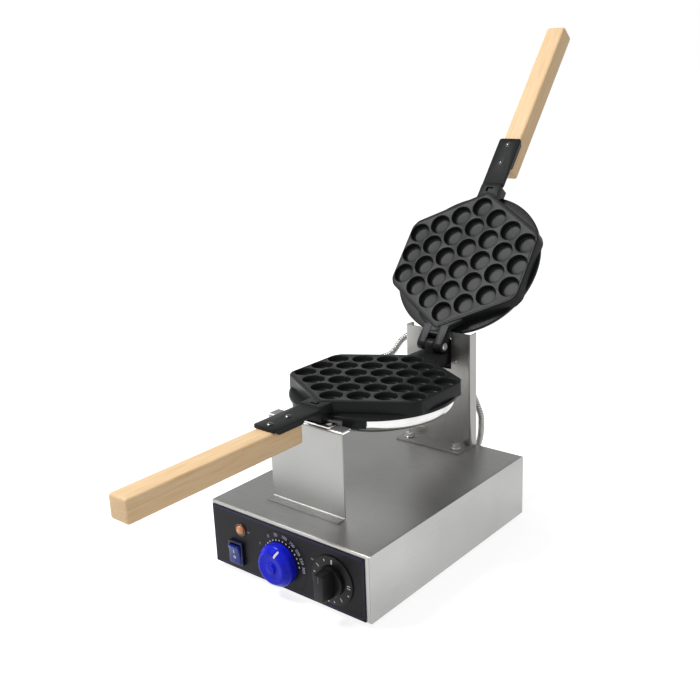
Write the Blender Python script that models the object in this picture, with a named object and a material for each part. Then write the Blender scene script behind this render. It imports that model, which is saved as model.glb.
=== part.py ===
# Bubble waffle maker with two hinged baking plates on a steel base.
#
# Metres, +Z up. X runs along the front, Y from the controls to the rear. Inside the root empty
# the base box's front lower edge lies at Y = 0 and Z = 0; the root then stands the machine on
# its feet and centres it over the origin. The rest pose has the lid open.

from math import acos, atan2, ceil, cos, degrees, pi, radians, sin, sqrt, tan

import bmesh
import bpy
from mathutils import Matrix, Vector

# Fits
seat_gap = 0.0003
turn_gap = 0.0004
cut_overrun = 0.002
weld_distance = 0.00001
round_steps = 28
small_round_steps = 12
screw_round_steps = 8

# Base box: a folded cover, two side panels and a bottom plate
box_width = 0.234
box_depth = 0.312
box_height = 0.078
box_sheet = 0.001
box_bend = 0.002
bend_steps = 3
vent_length = 0.050
vent_width = 0.005
vent_pitch = 0.016
vent_count = 4
vent_row_offset = 0.060

# Feet: rubber, pushed into the bottom plate
foot_height = 0.007
foot_radius = 0.011
foot_taper = 0.0015
foot_neck_radius = 0.003
foot_barb_radius = 0.0045
foot_barb_height = 0.003
foot_inset_x = 0.033
foot_inset_y = 0.034
foot_barb_share = 0.6

# Control panel
panel_left_margin = 0.0015
panel_right_margin = 0.007
panel_top_margin = 0.0045
panel_thickness = 0.001

# Pilot lamp
lamp_x = -0.070
lamp_z = 0.053
lamp_bezel_radius = 0.0078
lamp_bezel_depth = 0.0015
lamp_radius = 0.0058
lamp_depth = 0.0045
lamp_stem_length = 0.012

# Rocker switch
switch_x = -0.078
switch_z = 0.0225
switch_width = 0.022
switch_height = 0.029
switch_rim = 0.0023
switch_flange = 0.004
switch_body_depth = 0.016
switch_pocket_depth = 0.010
rocker_front = 0.0038
rocker_lip = 0.0068
rocker_back = 0.003
rocker_tilt = radians(8)

# Thermostat: shaft, domed knob and the unit behind the panel
thermostat_x = -0.009
thermostat_z = 0.031
thermostat_knob_radius = 0.025
thermostat_knob_depth = 0.018
thermostat_pointer_turn = radians(10)
knob_dome_shares = ((0.96, 0), (1, 0.16), (0.97, 0.5), (0.88, 0.75), (0.72, 0.92), (0.5, 1))

# Timer: dial, shaft, bar knob and the unit behind the panel
timer_x = 0.0665
timer_z = 0.0355
timer_dial_radius = 0.0285
timer_skirt_radius = 0.0175
timer_skirt_depth = 0.005
timer_bar_width = 0.013
timer_bar_height = 0.031
timer_bar_depth = 0.021
timer_bar_round = 0.002
timer_bar_foot_share = 1.08
timer_skirt_land = 0.003
timer_skirt_chamfer = 0.00175
dial_thickness = 0.0015
dial_steps = 32

# Both control units
shaft_radius = 0.003
bush_radius = 0.005
bush_clearance = 0.0003
unit_width = 0.036
unit_depth = 0.024
knob_bore_depth = 0.011

# Terminal block and mains inlet
terminal_length = 0.050
terminal_width = 0.022
terminal_height = 0.018
terminal_way_count = 4
terminal_x = -0.050
terminal_setback = 0.112
inlet_x = -0.075
inlet_z = 0.026
inlet_radius = 0.009
inlet_stem_radius = 0.0063
inlet_stem_length = 0.0063
inlet_bore_radius = 0.004
inlet_length = 0.016
inlet_collar = 0.0096

# Front bracket, which carries the handle end of the pans
bracket_sheet = 0.0015
bracket_bend = 0.003
bracket_centre_x = -0.009
bracket_width = 0.108
bracket_foot = 0.012
bracket_shelf = 0.016
bracket_corner = 0.008
screw_radius = 0.002
screw_head_radius = 0.0038
screw_head_height = 0.0018
screw_head_land = 0.0009
screw_crown_radius = 0.0023
screw_grip = 0.004
bracket_stud_inset = 0.012
bracket_stud_length = 0.0065
bracket_nut_width = 0.007
bracket_nut_height = 0.003

# Rest plate on the bracket's shelf
rest_length = 0.056
rest_width = 0.014
rest_thickness = 0.002
rest_screw_inset = 0.007
rest_reach = 0.0058

# Rear column
column_sheet = 0.0015
column_bend = 0.003
column_width = 0.100
column_setback = 0.016
column_depth = 0.0150
column_lip = 0.013
column_rise = 0.0249
column_lip_relief = 0.008
column_foot = 0.028
column_notch_width = 0.041
column_notch_drop = 0.0246
bolt_spacing = 0.074
bolt_radius = 0.003
bolt_head_width = 0.010
bolt_head_height = 0.004
bolt_washer_radius = 0.0065
bolt_washer_thickness = 0.001
bolt_grip = 0.0045

# Baking plates: thirty cups in six rows of 4, 5, 6, 6, 5 and 4
cup_pitch = 0.031
cup_web = 0.0042
cup_depth = 0.0125
cup_steps = 10
cup_shape_power = 2.6
cup_level_shares = (0.0, 0.6, 0.9)
longest_row = 6
row_step_limit = 3
side_margin = 0.0021
end_margin = 0.0071
hex_depth = 0.014
hex_draft = 0.0006
hex_corner = 0.006
hex_corner_cut = 0.0062
hex_edge = 0.0016
rim_inset = 0.0002
rim_steps = 40
rim_depth = 0.004
parting_gap = 0.0005
pan_rise = 0.1266
pad_angle = radians(25)
pad_width = 0.027
pad_depth = 0.009
pad_length = 0.0048

# Necks and tongues, which carry the handles; their reaches start at the plate's tip
neck_width = 0.037
neck_drop = 0.001
neck_root = 0.0184
neck_reach = 0.0118
tongue_width = 0.032
tongue_slope_length = 0.008
tongue_reach = 0.0848
tongue_drop = 0.003
tongue_thickness = 0.004
tongue_lip = 0.0075
tongue_lip_reach = 0.0378
tongue_wall = 0.002
tongue_corner = 0.004
neck_boss_width = 0.028
neck_boss_depth = 0.0205
latch_slot_reach = 0.0028
latch_slot_width = 0.010
latch_slot_length = 0.004
latch_slot_depth = 0.003
rivet_reaches = (0.0468, 0.0748)
rivet_radius = 0.0022
rivet_head_radius = 0.0038
rivet_head_height = 0.0016
rivet_crown_radius = 0.0019
rivet_length = 0.016
rivet_end_gap = 0.0007

# Wooden handles
handle_height = 0.026
handle_round = 0.0035
handle_round_steps = 2
handle_reach = 0.0398
handle_length = 0.232

# Lid hinge
hinge_setback = 0.0121
lug_reach = 0.0197
hinge_rise = 0.0082
open_angle = radians(129.2)
ear_radius = 0.0078
ear_width = 0.0118
knuckle_width = 0.012
ear_gap = 0.0005
lug_half_width = 0.0182
pin_radius = 0.003
pin_head_radius = 0.0048
pin_head_thickness = 0.0015

# Turning head between the lower plate and the column
arm_drop = 0.0012
arm_slope_end = 0.0036
arm_slope_start = 0.0048
arm_reach = 0.0081
head_width = 0.032
head_foot_length = 0.024
head_foot_thickness = 0.005
head_wall = 0.0046
head_top_rise = 0.005
pivot_radius = 0.006
pivot_spigot_radius = 0.003
pivot_overhang = 0.014
bearing_width = 0.068
bearing_thickness = 0.004
bearing_top_rise = 0.0135
bearing_drop = 0.027
bearing_screw_spacing = 0.054
nut_width = 0.019
nut_thickness = 0.008
nut_washer_radius = 0.011
nut_washer_thickness = 0.0015

# Heaters, clamps and dishes under both plates
heater_inset = 0.033
heater_tube_radius = 0.0035
heater_gap_angle = radians(40)
heater_tail_length = 0.022
heater_steps = 16
heater_sides = 6
clamp_inset = 0.020
clamp_width = 0.024
clamp_thickness = 0.002
dish_inset = 0.006
dish_bottom_depth = 0.036
dish_corner = 0.011
dish_sheet = 0.001
dish_steps = 36
dish_corner_steps = 2
stud_radius = 0.003
dish_nut_width = 0.012
dish_nut_height = 0.004

# Ribbed steel conduits
hose_radius = 0.0043
hose_groove_radius = 0.0036
hose_bore_radius = 0.0025
hose_rib_pitch = 0.0053
hose_bore_step = 0.013
curve_steps = 24
gland_radius = 0.0065
gland_length = 0.009
gland_flange_radius = 0.0085
gland_flange = 0.0015
gland_stem_radius = 0.004
gland_stem_length = 0.004
gland_steps = 10
upper_gland_x = -0.014
upper_gland_inset = 0.029
lower_gland_angle = radians(40)
lower_gland_depth = 0.0265
box_gland_x = 0.033
box_gland_drop = 0.026

# Free stretches of the conduits: first measured from the hinge pin, then from the box's rear
# wall at the height of the glands
upper_hose_hinge_route = (
    (-0.0130, 0.0751, 0.0002),
    (-0.0110, 0.0751, -0.0198),
    (-0.0030, 0.0701, -0.0428),
    (0.0120, 0.0621, -0.0618),
)
upper_hose_box_route = (
    (0.0370, 0.0260, 0.0610),
    (0.0395, 0.0260, 0.0440),
    (0.0375, 0.0275, 0.0270),
    (0.0345, 0.0270, 0.0135),
)
lower_hose_hinge_route = (
    (-0.0840, -0.0179, -0.0338),
    (-0.0875, 0.0021, -0.0288),
    (-0.0790, 0.0191, -0.0203),
    (-0.0670, 0.0281, -0.0108),
    (-0.0540, 0.0351, -0.0048),
    (-0.0400, 0.0401, -0.0078),
    (-0.0310, 0.0451, -0.0238),
    (-0.0275, 0.0481, -0.0468),
)
lower_hose_box_route = (
    (-0.0290, 0.0240, 0.0530),
    (-0.0310, 0.0265, 0.0290),
    (-0.0325, 0.0265, 0.0135),
)

# Derived places on the base
panel_left = -box_width / 2 + panel_left_margin
panel_right = box_width / 2 - panel_right_margin
panel_height = box_height - panel_top_margin
panel_front = -(seat_gap + panel_thickness)
dial_front = panel_front - seat_gap - dial_thickness
terminal_y = box_depth - terminal_setback
box_gland_z = box_height - box_gland_drop
column_y = box_depth - column_setback

# Derived sizes and places of the pans
cup_radius = (cup_pitch - cup_web) / 2
plate_tip = cup_pitch / 2 * (longest_row - 1) + (cup_radius + end_margin) / cos(pi / 6)
hex_half_width = cup_pitch * sqrt(3) / 2 * row_step_limit + cup_radius + side_margin
hex_half_side = plate_tip - hex_half_width * tan(pi / 6)
casting_depth = hex_depth + rim_depth
rim_radius = plate_tip - rim_inset
dish_radius = rim_radius - dish_inset
heater_ring_radius = dish_radius - heater_inset
clamp_length = 2 * (dish_radius - clamp_inset)
neck_start = plate_tip - neck_root
neck_end = plate_tip + neck_reach
tongue_slope_end = neck_end + tongue_slope_length
tongue_end = plate_tip + tongue_reach
tongue_lip_start = plate_tip + tongue_lip_reach
latch_slot_y = plate_tip + latch_slot_reach
rivet_positions = tuple(plate_tip + reach for reach in rivet_reaches)
handle_start = plate_tip + handle_reach
hinge_distance = plate_tip + lug_reach
arm_end = hinge_distance + arm_reach
upper_gland_y = dish_radius - upper_gland_inset

# Derived places of the pans on the base
pan_face_z = box_height + pan_rise
pivot_z = pan_face_z
hinge_y = column_y - hinge_setback
hinge_z = pan_face_z + hinge_rise
pan_centre_y = hinge_y - hinge_distance
lower_pan_z = pan_face_z - parting_gap / 2
column_top = pan_face_z + column_rise
column_notch_bottom = pan_face_z - column_notch_drop
head_y = column_y + column_sheet - head_wall
bracket_y = pan_centre_y - plate_tip - rest_reach - bracket_shelf / 2
bracket_top = lower_pan_z - neck_boss_depth - rest_thickness - 2 * seat_gap


def clear_scene():
    """Empty the scene, keeping the file open."""
    for old in list(bpy.data.objects):
        bpy.data.objects.remove(old, do_unlink=True)


def material(name, colour, roughness, metallic=0.0):
    """Return the Principled material of that name, made once."""
    found = bpy.data.materials.get(name)
    if found:
        return found
    made = bpy.data.materials.new(name)
    made.use_nodes = True
    shader = made.node_tree.nodes["Principled BSDF"]
    shader.inputs["Base Color"].default_value = (*colour, 1.0)
    shader.inputs["Roughness"].default_value = roughness
    shader.inputs["Metallic"].default_value = metallic
    made.diffuse_color = (*colour, 1.0)
    return made


def empty(name, parent, location=(0, 0, 0), rotation=(0, 0, 0)):
    """Add an empty that carries a group of pieces."""
    made = bpy.data.objects.new(name, None)
    bpy.context.collection.objects.link(made)
    made.parent = parent
    made.location = location
    made.rotation_euler = rotation
    return made


def piece(name, form, parent, surface=None, location=(0, 0, 0), rotation=(0, 0, 0)):
    """Make an object from a bmesh form; one with no surface is a cutter or a part to fuse."""
    mesh = bpy.data.meshes.new(name)
    bmesh.ops.recalc_face_normals(form, faces=form.faces)
    form.to_mesh(mesh)
    form.free()
    made = bpy.data.objects.new(name, mesh)
    bpy.context.collection.objects.link(made)
    made.parent = parent
    made.location = location
    made.rotation_euler = rotation
    if surface:
        mesh.materials.append(surface)
        mesh.shade_smooth()
        mesh.set_sharp_from_angle(angle=radians(35))
    else:
        made.hide_render = True
        made.display_type = "WIRE"
    return made


def combine(target, operation, form):
    """Cut a bmesh form out of an object, or fuse it on, in the object's own frame."""
    tool = piece(target.name + "_" + operation.lower(), form, target)
    step = target.modifiers.new(operation.title(), "BOOLEAN")
    step.operation = operation
    step.object = tool
    step.solver = "EXACT"
    return target


def cut(target, form):
    return combine(target, "DIFFERENCE", form)


def fuse(target, form):
    return combine(target, "UNION", form)


def arc(centre, radius, start, end, steps):
    """Points along an arc, both ends included."""
    turns = [start + (end - start) * i / steps for i in range(steps + 1)]
    return [(centre[0] + radius * cos(a), centre[1] + radius * sin(a)) for a in turns]


def circle(radius, steps, centre=(0, 0), phase=0.0):
    """A closed round outline."""
    return arc(centre, radius, phase, phase + 2 * pi * (steps - 1) / steps, steps - 1)


def rectangle(width, height, centre=(0, 0)):
    x, y = centre
    w, h = width / 2, height / 2
    return [(x - w, y - h), (x + w, y - h), (x + w, y + h), (x - w, y + h)]


def hexagon(width, centre=(0, 0), phase=0.0):
    """A hexagonal outline of the given width across flats."""
    return circle(width / 2 / cos(pi / 6), 6, centre, phase)


def rounded(outline, radii, steps):
    """Round each corner of a closed outline by its own radius."""
    points = [Vector(p) for p in outline]
    result = []
    for i, corner in enumerate(points):
        radius = radii[i] if isinstance(radii, (list, tuple)) else radii
        before = (points[i - 1] - corner).normalized()
        after = (points[(i + 1) % len(points)] - corner).normalized()
        half = acos(max(-1.0, min(1.0, before.dot(after)))) / 2
        if not radius:
            result.append(tuple(corner))
            continue
        centre = corner + (before + after).normalized() * (radius / sin(half))
        first = corner + before * (radius / tan(half)) - centre
        last = corner + after * (radius / tan(half)) - centre
        start = atan2(first.y, first.x)
        sweep = (atan2(last.y, last.x) - start + pi) % (2 * pi) - pi
        result += arc(centre, radius, start, start + sweep, steps)
    return result


def folded(points, sheet, bend, side=1):
    """Outline of a folded sheet whose outer side runs through the points."""
    path = [Vector(p) for p in points]
    headings = [(b - a).normalized() for a, b in zip(path, path[1:])]
    inner = []
    for i, point in enumerate(path):
        near = [headings[max(i - 1, 0)], headings[min(i, len(headings) - 1)]]
        normals = [Vector((-h.y, h.x)) * side for h in near]
        mid = (normals[0] + normals[1]).normalized()
        inner.append(point + mid * (sheet / mid.dot(normals[0])))
    outline = [tuple(p) for p in path] + [tuple(p) for p in reversed(inner)]
    count = len(path)
    turns = []
    for i in range(1, count - 1):
        cross = headings[i - 1].cross(headings[i]) * side
        turns.append((bend, bend - sheet) if cross > 0 else (bend - sheet, bend))
    outer_radii = [0] + [t[0] for t in turns] + [0]
    inner_radii = [0] + [t[1] for t in reversed(turns)] + [0]
    return rounded(outline, outer_radii + inner_radii, bend_steps)


def prism(outline, low, high, form=None, taper=1.0):
    """A straight or tapered prism over an XY outline."""
    form = form or bmesh.new()
    bottom = [form.verts.new((x * taper, y * taper, low)) for x, y in outline]
    top = [form.verts.new((x, y, high)) for x, y in outline]
    form.faces.new(list(reversed(bottom)))
    form.faces.new(top)
    for i in range(len(outline)):
        j = (i + 1) % len(outline)
        form.faces.new((bottom[i], bottom[j], top[j], top[i]))
    return form


def along_x(outline, low, high, form=None):
    """A prism whose YZ outline is extruded along X."""
    added = prism(outline, low, high)
    turn = Matrix(((0, 0, 1, 0), (1, 0, 0, 0), (0, 1, 0, 0), (0, 0, 0, 1)))
    bmesh.ops.transform(added, verts=added.verts, matrix=turn)
    return merged(form, added)


def along_y(outline, low, high, form=None):
    """A prism whose XZ outline is extruded along Y."""
    added = prism(outline, low, high)
    turn = Matrix(((1, 0, 0, 0), (0, 0, 1, 0), (0, 1, 0, 0), (0, 0, 0, 1)))
    bmesh.ops.transform(added, verts=added.verts, matrix=turn)
    return merged(form, added)


def merged(form, added):
    """Put a second form into the first, as a body of its own."""
    if form is None:
        return added
    mesh = bpy.data.meshes.new("merge")
    added.to_mesh(mesh)
    added.free()
    form.from_mesh(mesh)
    bpy.data.meshes.remove(mesh)
    return form


def turned(profile, steps, form=None, place=None):
    """A body turned about Z from a closed (radius, z) profile; radius 0 makes a pole."""
    added = bmesh.new()
    rings = []
    for radius, z in profile:
        if radius:
            rings.append([added.verts.new((x, y, z)) for x, y in circle(radius, steps)])
        else:
            rings.append([added.verts.new((0, 0, z))])
    closed = bool(profile[0][0])
    pairs = list(zip(rings, rings[1:])) + ([(rings[-1], rings[0])] if closed else [])
    for low, high in pairs:
        for i in range(steps):
            j = (i + 1) % steps
            corners = [low[i % len(low)], low[j % len(low)], high[j % len(high)], high[i % len(high)]]
            added.faces.new(list(dict.fromkeys(corners)))
    if place:
        bmesh.ops.transform(added, verts=added.verts, matrix=place)
    return merged(form, added)


def facing_front(x, z, y=0.0):
    """Placing matrix that turns Z into the outward direction of the front panel."""
    return Matrix.Translation((x, y, z)) @ Matrix.Rotation(pi / 2, 4, "X")


def facing_rear(x, z, y):
    """Placing matrix that turns Z into the direction away from the front panel."""
    return Matrix.Translation((x, y, z)) @ Matrix.Rotation(-pi / 2, 4, "X")


def steel(name="brushed_steel"):
    return material(name, (0.62, 0.62, 0.61), 0.33, 1.0)


def bright_steel():
    return material("bright_steel", (0.78, 0.78, 0.77), 0.16, 1.0)


def black_cast():
    return material("black_coated_casting", (0.035, 0.036, 0.037), 0.42)


def black_plastic():
    return material("black_plastic", (0.018, 0.018, 0.02), 0.38)


def screw_form(grip, place=None):
    """A pan-head screw whose seat lies at Z = 0, with its shank going down."""
    profile = [
        (0, -grip - screw_head_height),
        (screw_radius, -grip - screw_head_height),
        (screw_radius, 0),
        (screw_head_radius, 0),
        (screw_head_radius, screw_head_land),
        (screw_crown_radius, screw_head_height),
        (0, screw_head_height),
    ]
    return turned(profile, screw_round_steps, place=place)


def screw(name, parent, location):
    """A screw of its own, standing upright."""
    return piece(name, screw_form(screw_grip), parent, bright_steel(), location)


def base_cover(root):
    """One sheet folded over the front, the top and the rear, with all its holes."""
    half = box_width / 2 - box_sheet - seat_gap
    path = [(0, 0), (0, box_height), (box_depth, box_height), (box_depth, 0)]
    outline = folded(path, box_sheet, box_bend, side=-1)
    cover = piece("base_cover", along_x(outline, -half, half), root, steel())
    hole = bolt_radius + seat_gap
    reach = box_sheet + cut_overrun
    holes = along_y(rectangle(switch_width - switch_rim, switch_height - switch_rim,
                              (switch_x, switch_z)), -cut_overrun, reach)
    for x, z, radius in (
        (lamp_x, lamp_z, lamp_radius + seat_gap),
        (thermostat_x, thermostat_z, bush_radius + seat_gap),
        (timer_x, timer_z, bush_radius + seat_gap),
    ):
        along_y(circle(radius, small_round_steps, (x, z)), -cut_overrun, reach, holes)
    for x, z, radius in (
        (inlet_x, inlet_z, inlet_stem_radius + seat_gap),
        (box_gland_x, box_gland_z, gland_stem_radius + seat_gap),
        (-box_gland_x, box_gland_z, gland_stem_radius + seat_gap),
    ):
        along_y(circle(radius, small_round_steps, (x, z)), box_depth - reach,
                box_depth + cut_overrun, holes)
    low, high = box_height - reach, box_height + cut_overrun
    for x in (-bolt_spacing / 2, bolt_spacing / 2):
        prism(circle(hole, small_round_steps, (x, column_y - column_foot / 2)), low, high, holes)
    for x in bracket_stud_places():
        prism(circle(screw_radius + seat_gap, screw_round_steps, (x, bracket_y - bracket_foot / 2)),
              low, high, holes)
    return cut(cover, holes)


def bracket_stud_places():
    reach = bracket_width / 2 - bracket_stud_inset
    return (bracket_centre_x - reach, bracket_centre_x + reach)


def side_panels(root):
    """Flat sheets that close the cover's two ends, with softened corners."""
    outline = rounded(rectangle(box_depth, box_height, (box_depth / 2, box_height / 2)),
                      [0, 0, box_bend, box_bend], bend_steps)
    for name, low in (("side_panel_left", -box_width / 2),
                      ("side_panel_right", box_width / 2 - box_sheet)):
        piece(name, along_x(outline, low, low + box_sheet), root, steel())


def bottom_plate(root):
    """The bottom sheet, with vent slots and the holes of the feet."""
    inset = box_sheet + seat_gap
    outline = rectangle(box_width - 2 * inset, box_depth - 2 * inset, (0, box_depth / 2))
    plate = piece("bottom_plate", prism(outline, 0, box_sheet), root, steel())
    holes = bmesh.new()
    for side in (-1, 1):
        for i in range(vent_count):
            y = box_depth / 2 + (i - (vent_count - 1) / 2) * vent_pitch
            slot = rounded(rectangle(vent_length, vent_width, (side * vent_row_offset, y)),
                           vent_width / 4, 1)
            prism(slot, -cut_overrun, box_sheet + cut_overrun, holes)
    for x, y in foot_places():
        prism(circle(foot_neck_radius + seat_gap, screw_round_steps, (x, y)),
              -cut_overrun, box_sheet + cut_overrun, holes)
    return cut(plate, holes)


def foot_places():
    reach = box_width / 2 - foot_inset_x
    return [(x, y) for y in (foot_inset_y, box_depth - foot_inset_y) for x in (-reach, reach)]


def feet(root):
    """Four rubber feet, each pushed through the bottom plate up to its barb."""
    top = box_sheet + seat_gap
    profile = [
        (0, -foot_height),
        (foot_radius - foot_taper, -foot_height),
        (foot_radius, -seat_gap),
        (foot_neck_radius, -seat_gap),
        (foot_neck_radius, top),
        (foot_barb_radius, top),
        (foot_neck_radius * foot_barb_share, top + foot_barb_height),
        (0, top + foot_barb_height),
    ]
    rubber = material("black_rubber", (0.03, 0.03, 0.03), 0.8)
    for i, (x, y) in enumerate(foot_places()):
        piece("foot_%d" % (i + 1), turned(profile, small_round_steps), root, rubber, (x, y, 0))


def control_panel(root):
    """The dark front plate with its openings."""
    width = panel_right - panel_left
    centre = ((panel_left + panel_right) / 2, panel_height / 2)
    form = along_y(rectangle(width, panel_height, centre), panel_front, -seat_gap)
    surface = material("dark_panel", (0.022, 0.022, 0.024), 0.45)
    panel = piece("control_panel", form, root, surface)
    low, high = panel_front - cut_overrun, cut_overrun
    holes = along_y(rectangle(switch_width - switch_rim, switch_height - switch_rim,
                              (switch_x, switch_z)), low, high)
    for x, z, radius in (
        (lamp_x, lamp_z, lamp_radius + seat_gap),
        (thermostat_x, thermostat_z, bush_radius + seat_gap),
        (timer_x, timer_z, bush_radius + seat_gap),
    ):
        along_y(circle(radius, small_round_steps, (x, z)), low, high, holes)
    return cut(panel, holes)


def pilot_lamp(root):
    """A ring bezel and a domed lens whose stem goes through the panel."""
    seat = -panel_front + seat_gap
    inner = lamp_radius + seat_gap
    bezel = [(inner, seat), (lamp_bezel_radius, seat),
             (lamp_bezel_radius - lamp_bezel_depth / 2, seat + lamp_bezel_depth),
             (inner, seat + lamp_bezel_depth)]
    rim = material("dark_red_plastic", (0.16, 0.03, 0.015), 0.4)
    piece("lamp_bezel", turned(bezel, small_round_steps), root, rim,
          (lamp_x, 0, lamp_z), (pi / 2, 0, 0))
    dome = arc((0, seat), lamp_radius - seat_gap, 0, pi / 2, 3)
    squash = lamp_depth / lamp_radius
    dome = [(r, seat + (z - seat) * squash) for r, z in dome[:-1]]
    lens = [(0, -lamp_stem_length), (lamp_radius - seat_gap, -lamp_stem_length)]
    lens += dome + [(0, seat + lamp_depth * (1 - seat_gap / lamp_radius))]
    amber = material("amber_lens", (0.75, 0.28, 0.07), 0.25)
    piece("lamp_lens", turned(lens, small_round_steps), root, amber,
          (lamp_x, 0, lamp_z), (pi / 2, 0, 0))


def rocker_switch(root):
    """A flanged housing with an open pocket, and the rocker that tips in it."""
    centre = (switch_x, switch_z)
    front = panel_front - seat_gap - switch_flange
    flange = along_y(rectangle(switch_width, switch_height, centre), front, panel_front - seat_gap)
    housing = piece("switch_housing", flange, root, black_plastic())
    neck = rectangle(switch_width - switch_rim - 2 * seat_gap,
                     switch_height - switch_rim - 2 * seat_gap, centre)
    fuse(housing, along_y(neck, panel_front - 2 * seat_gap, switch_body_depth))
    pocket = rectangle(switch_width - 2 * switch_rim, switch_height - 2 * switch_rim, centre)
    cut(housing, along_y(pocket, front - cut_overrun, front + switch_pocket_depth))
    half_width = (switch_width - 2 * switch_rim) / 2 - turn_gap
    half_height = (switch_height - 2 * switch_rim) / 2 - 2 * turn_gap
    outline = [(-rocker_lip, -half_height), (-rocker_front, 0), (-rocker_lip, half_height),
               (rocker_back, half_height - rocker_back), (rocker_back, rocker_back - half_height)]
    blue = material("blue_rocker_plastic", (0.01, 0.03, 0.28), 0.3)
    piece("switch_rocker", along_x(outline, -half_width, half_width), root, blue,
          (switch_x, front + rocker_front - rocker_back / 2, switch_z), (rocker_tilt, 0, 0))


def control_unit(root, kind, x, z):
    """The unit behind the panel, with the threaded bush that its shaft turns in."""
    body_front = box_sheet + seat_gap
    grey = material("grey_plastic", (0.25, 0.25, 0.26), 0.5)
    form = along_y(rectangle(unit_width, unit_width, (x, z)), body_front, body_front + unit_depth)
    unit = piece(kind + "_unit", form, root, grey)
    bush = along_y(circle(bush_radius, small_round_steps, (x, z)), panel_front, body_front + box_sheet)
    fuse(unit, bush)
    bore = along_y(circle(shaft_radius + bush_clearance, screw_round_steps, (x, z)),
                   panel_front - cut_overrun, body_front + unit_depth / 2)
    return cut(unit, bore)


def control_shaft(root, kind, x, z, seat):
    """The plain spindle from the unit into the knob."""
    back = box_sheet + unit_depth / 2
    length = back - seat + knob_bore_depth
    profile = [(0, 0), (shaft_radius, 0), (shaft_radius, length), (0, length)]
    piece(kind + "_shaft", turned(profile, screw_round_steps), root, bright_steel(),
          (x, back, z), (pi / 2, 0, 0))


def dial(root, kind, x, z, radius):
    """A thin dial ring round the shaft."""
    inner = bush_radius + seat_gap
    profile = [(inner, 0), (radius, 0), (radius - dial_thickness / 2, dial_thickness),
               (inner, dial_thickness)]
    piece(kind + "_dial", turned(profile, dial_steps), root, black_plastic(),
          (x, panel_front - seat_gap, z), (pi / 2, 0, 0))


def knob_bore():
    """Cutter for a knob's shaft hole, in the knob's own frame."""
    radius = shaft_radius + seat_gap
    high = knob_bore_depth + seat_gap
    return prism(circle(radius, screw_round_steps), -cut_overrun, high)


def thermostat(root):
    """The blue domed knob just clear of the panel."""
    control_unit(root, "thermostat", thermostat_x, thermostat_z)
    control_shaft(root, "thermostat", thermostat_x, thermostat_z, panel_front)
    r, h = thermostat_knob_radius, thermostat_knob_depth
    profile = [(0, 0)] + [(r * a, h * b) for a, b in knob_dome_shares] + [(0, h)]
    blue = material("blue_knob_plastic", (0.015, 0.02, 0.62), 0.25)
    knob = piece("thermostat_knob", turned(profile, round_steps), root, blue,
                 (thermostat_x, panel_front - seat_gap, thermostat_z),
                 (pi / 2, thermostat_pointer_turn, 0))
    return cut(knob, knob_bore())


def timer(root):
    """The black bar knob on its dial."""
    control_unit(root, "timer", timer_x, timer_z)
    control_shaft(root, "timer", timer_x, timer_z, dial_front)
    dial(root, "timer", timer_x, timer_z, timer_dial_radius)
    skirt = [(0, 0), (timer_skirt_radius, 0), (timer_skirt_radius, timer_skirt_land),
             (timer_skirt_radius - timer_skirt_chamfer, timer_skirt_depth), (0, timer_skirt_depth)]
    knob = piece("timer_knob", turned(skirt, round_steps), root, black_plastic(),
                 (timer_x, dial_front - seat_gap, timer_z), (pi / 2, 0, 0))
    bar = rounded(rectangle(timer_bar_width, timer_bar_height), timer_bar_round, 2)
    fuse(knob, prism(bar, timer_skirt_depth / 2, timer_bar_depth, taper=timer_bar_foot_share))
    return cut(knob, knob_bore())


def terminal_block(root):
    """The ceramic block where the wires meet, standing on the bottom plate."""
    low = box_sheet + seat_gap
    form = prism(rectangle(terminal_length, terminal_width, (terminal_x, terminal_y)),
                 low, low + terminal_height)
    block = piece("terminal_block", form, root, material("white_ceramic", (0.8, 0.79, 0.75), 0.4))
    ways = bmesh.new()
    pitch = terminal_length / terminal_way_count
    for i in range(terminal_way_count):
        x = terminal_x + (i - (terminal_way_count - 1) / 2) * pitch
        prism(circle(pitch / 4, screw_round_steps, (x, terminal_y)),
              low + terminal_height / 2, low + terminal_height + cut_overrun, ways)
    return cut(block, ways)


def mains_inlet(root):
    """The cable gland in the rear wall."""
    out = seat_gap
    profile = [
        (inlet_bore_radius, -inlet_stem_length),
        (inlet_stem_radius, -inlet_stem_length),
        (inlet_stem_radius, out),
        (inlet_radius, out),
        (inlet_radius, out + inlet_collar),
        (inlet_stem_radius, out + inlet_length),
        (inlet_bore_radius, out + inlet_length),
    ]
    piece("mains_inlet_gland", turned(profile, small_round_steps), root, black_plastic(),
          (inlet_x, box_depth, inlet_z), (-pi / 2, 0, 0))


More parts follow.
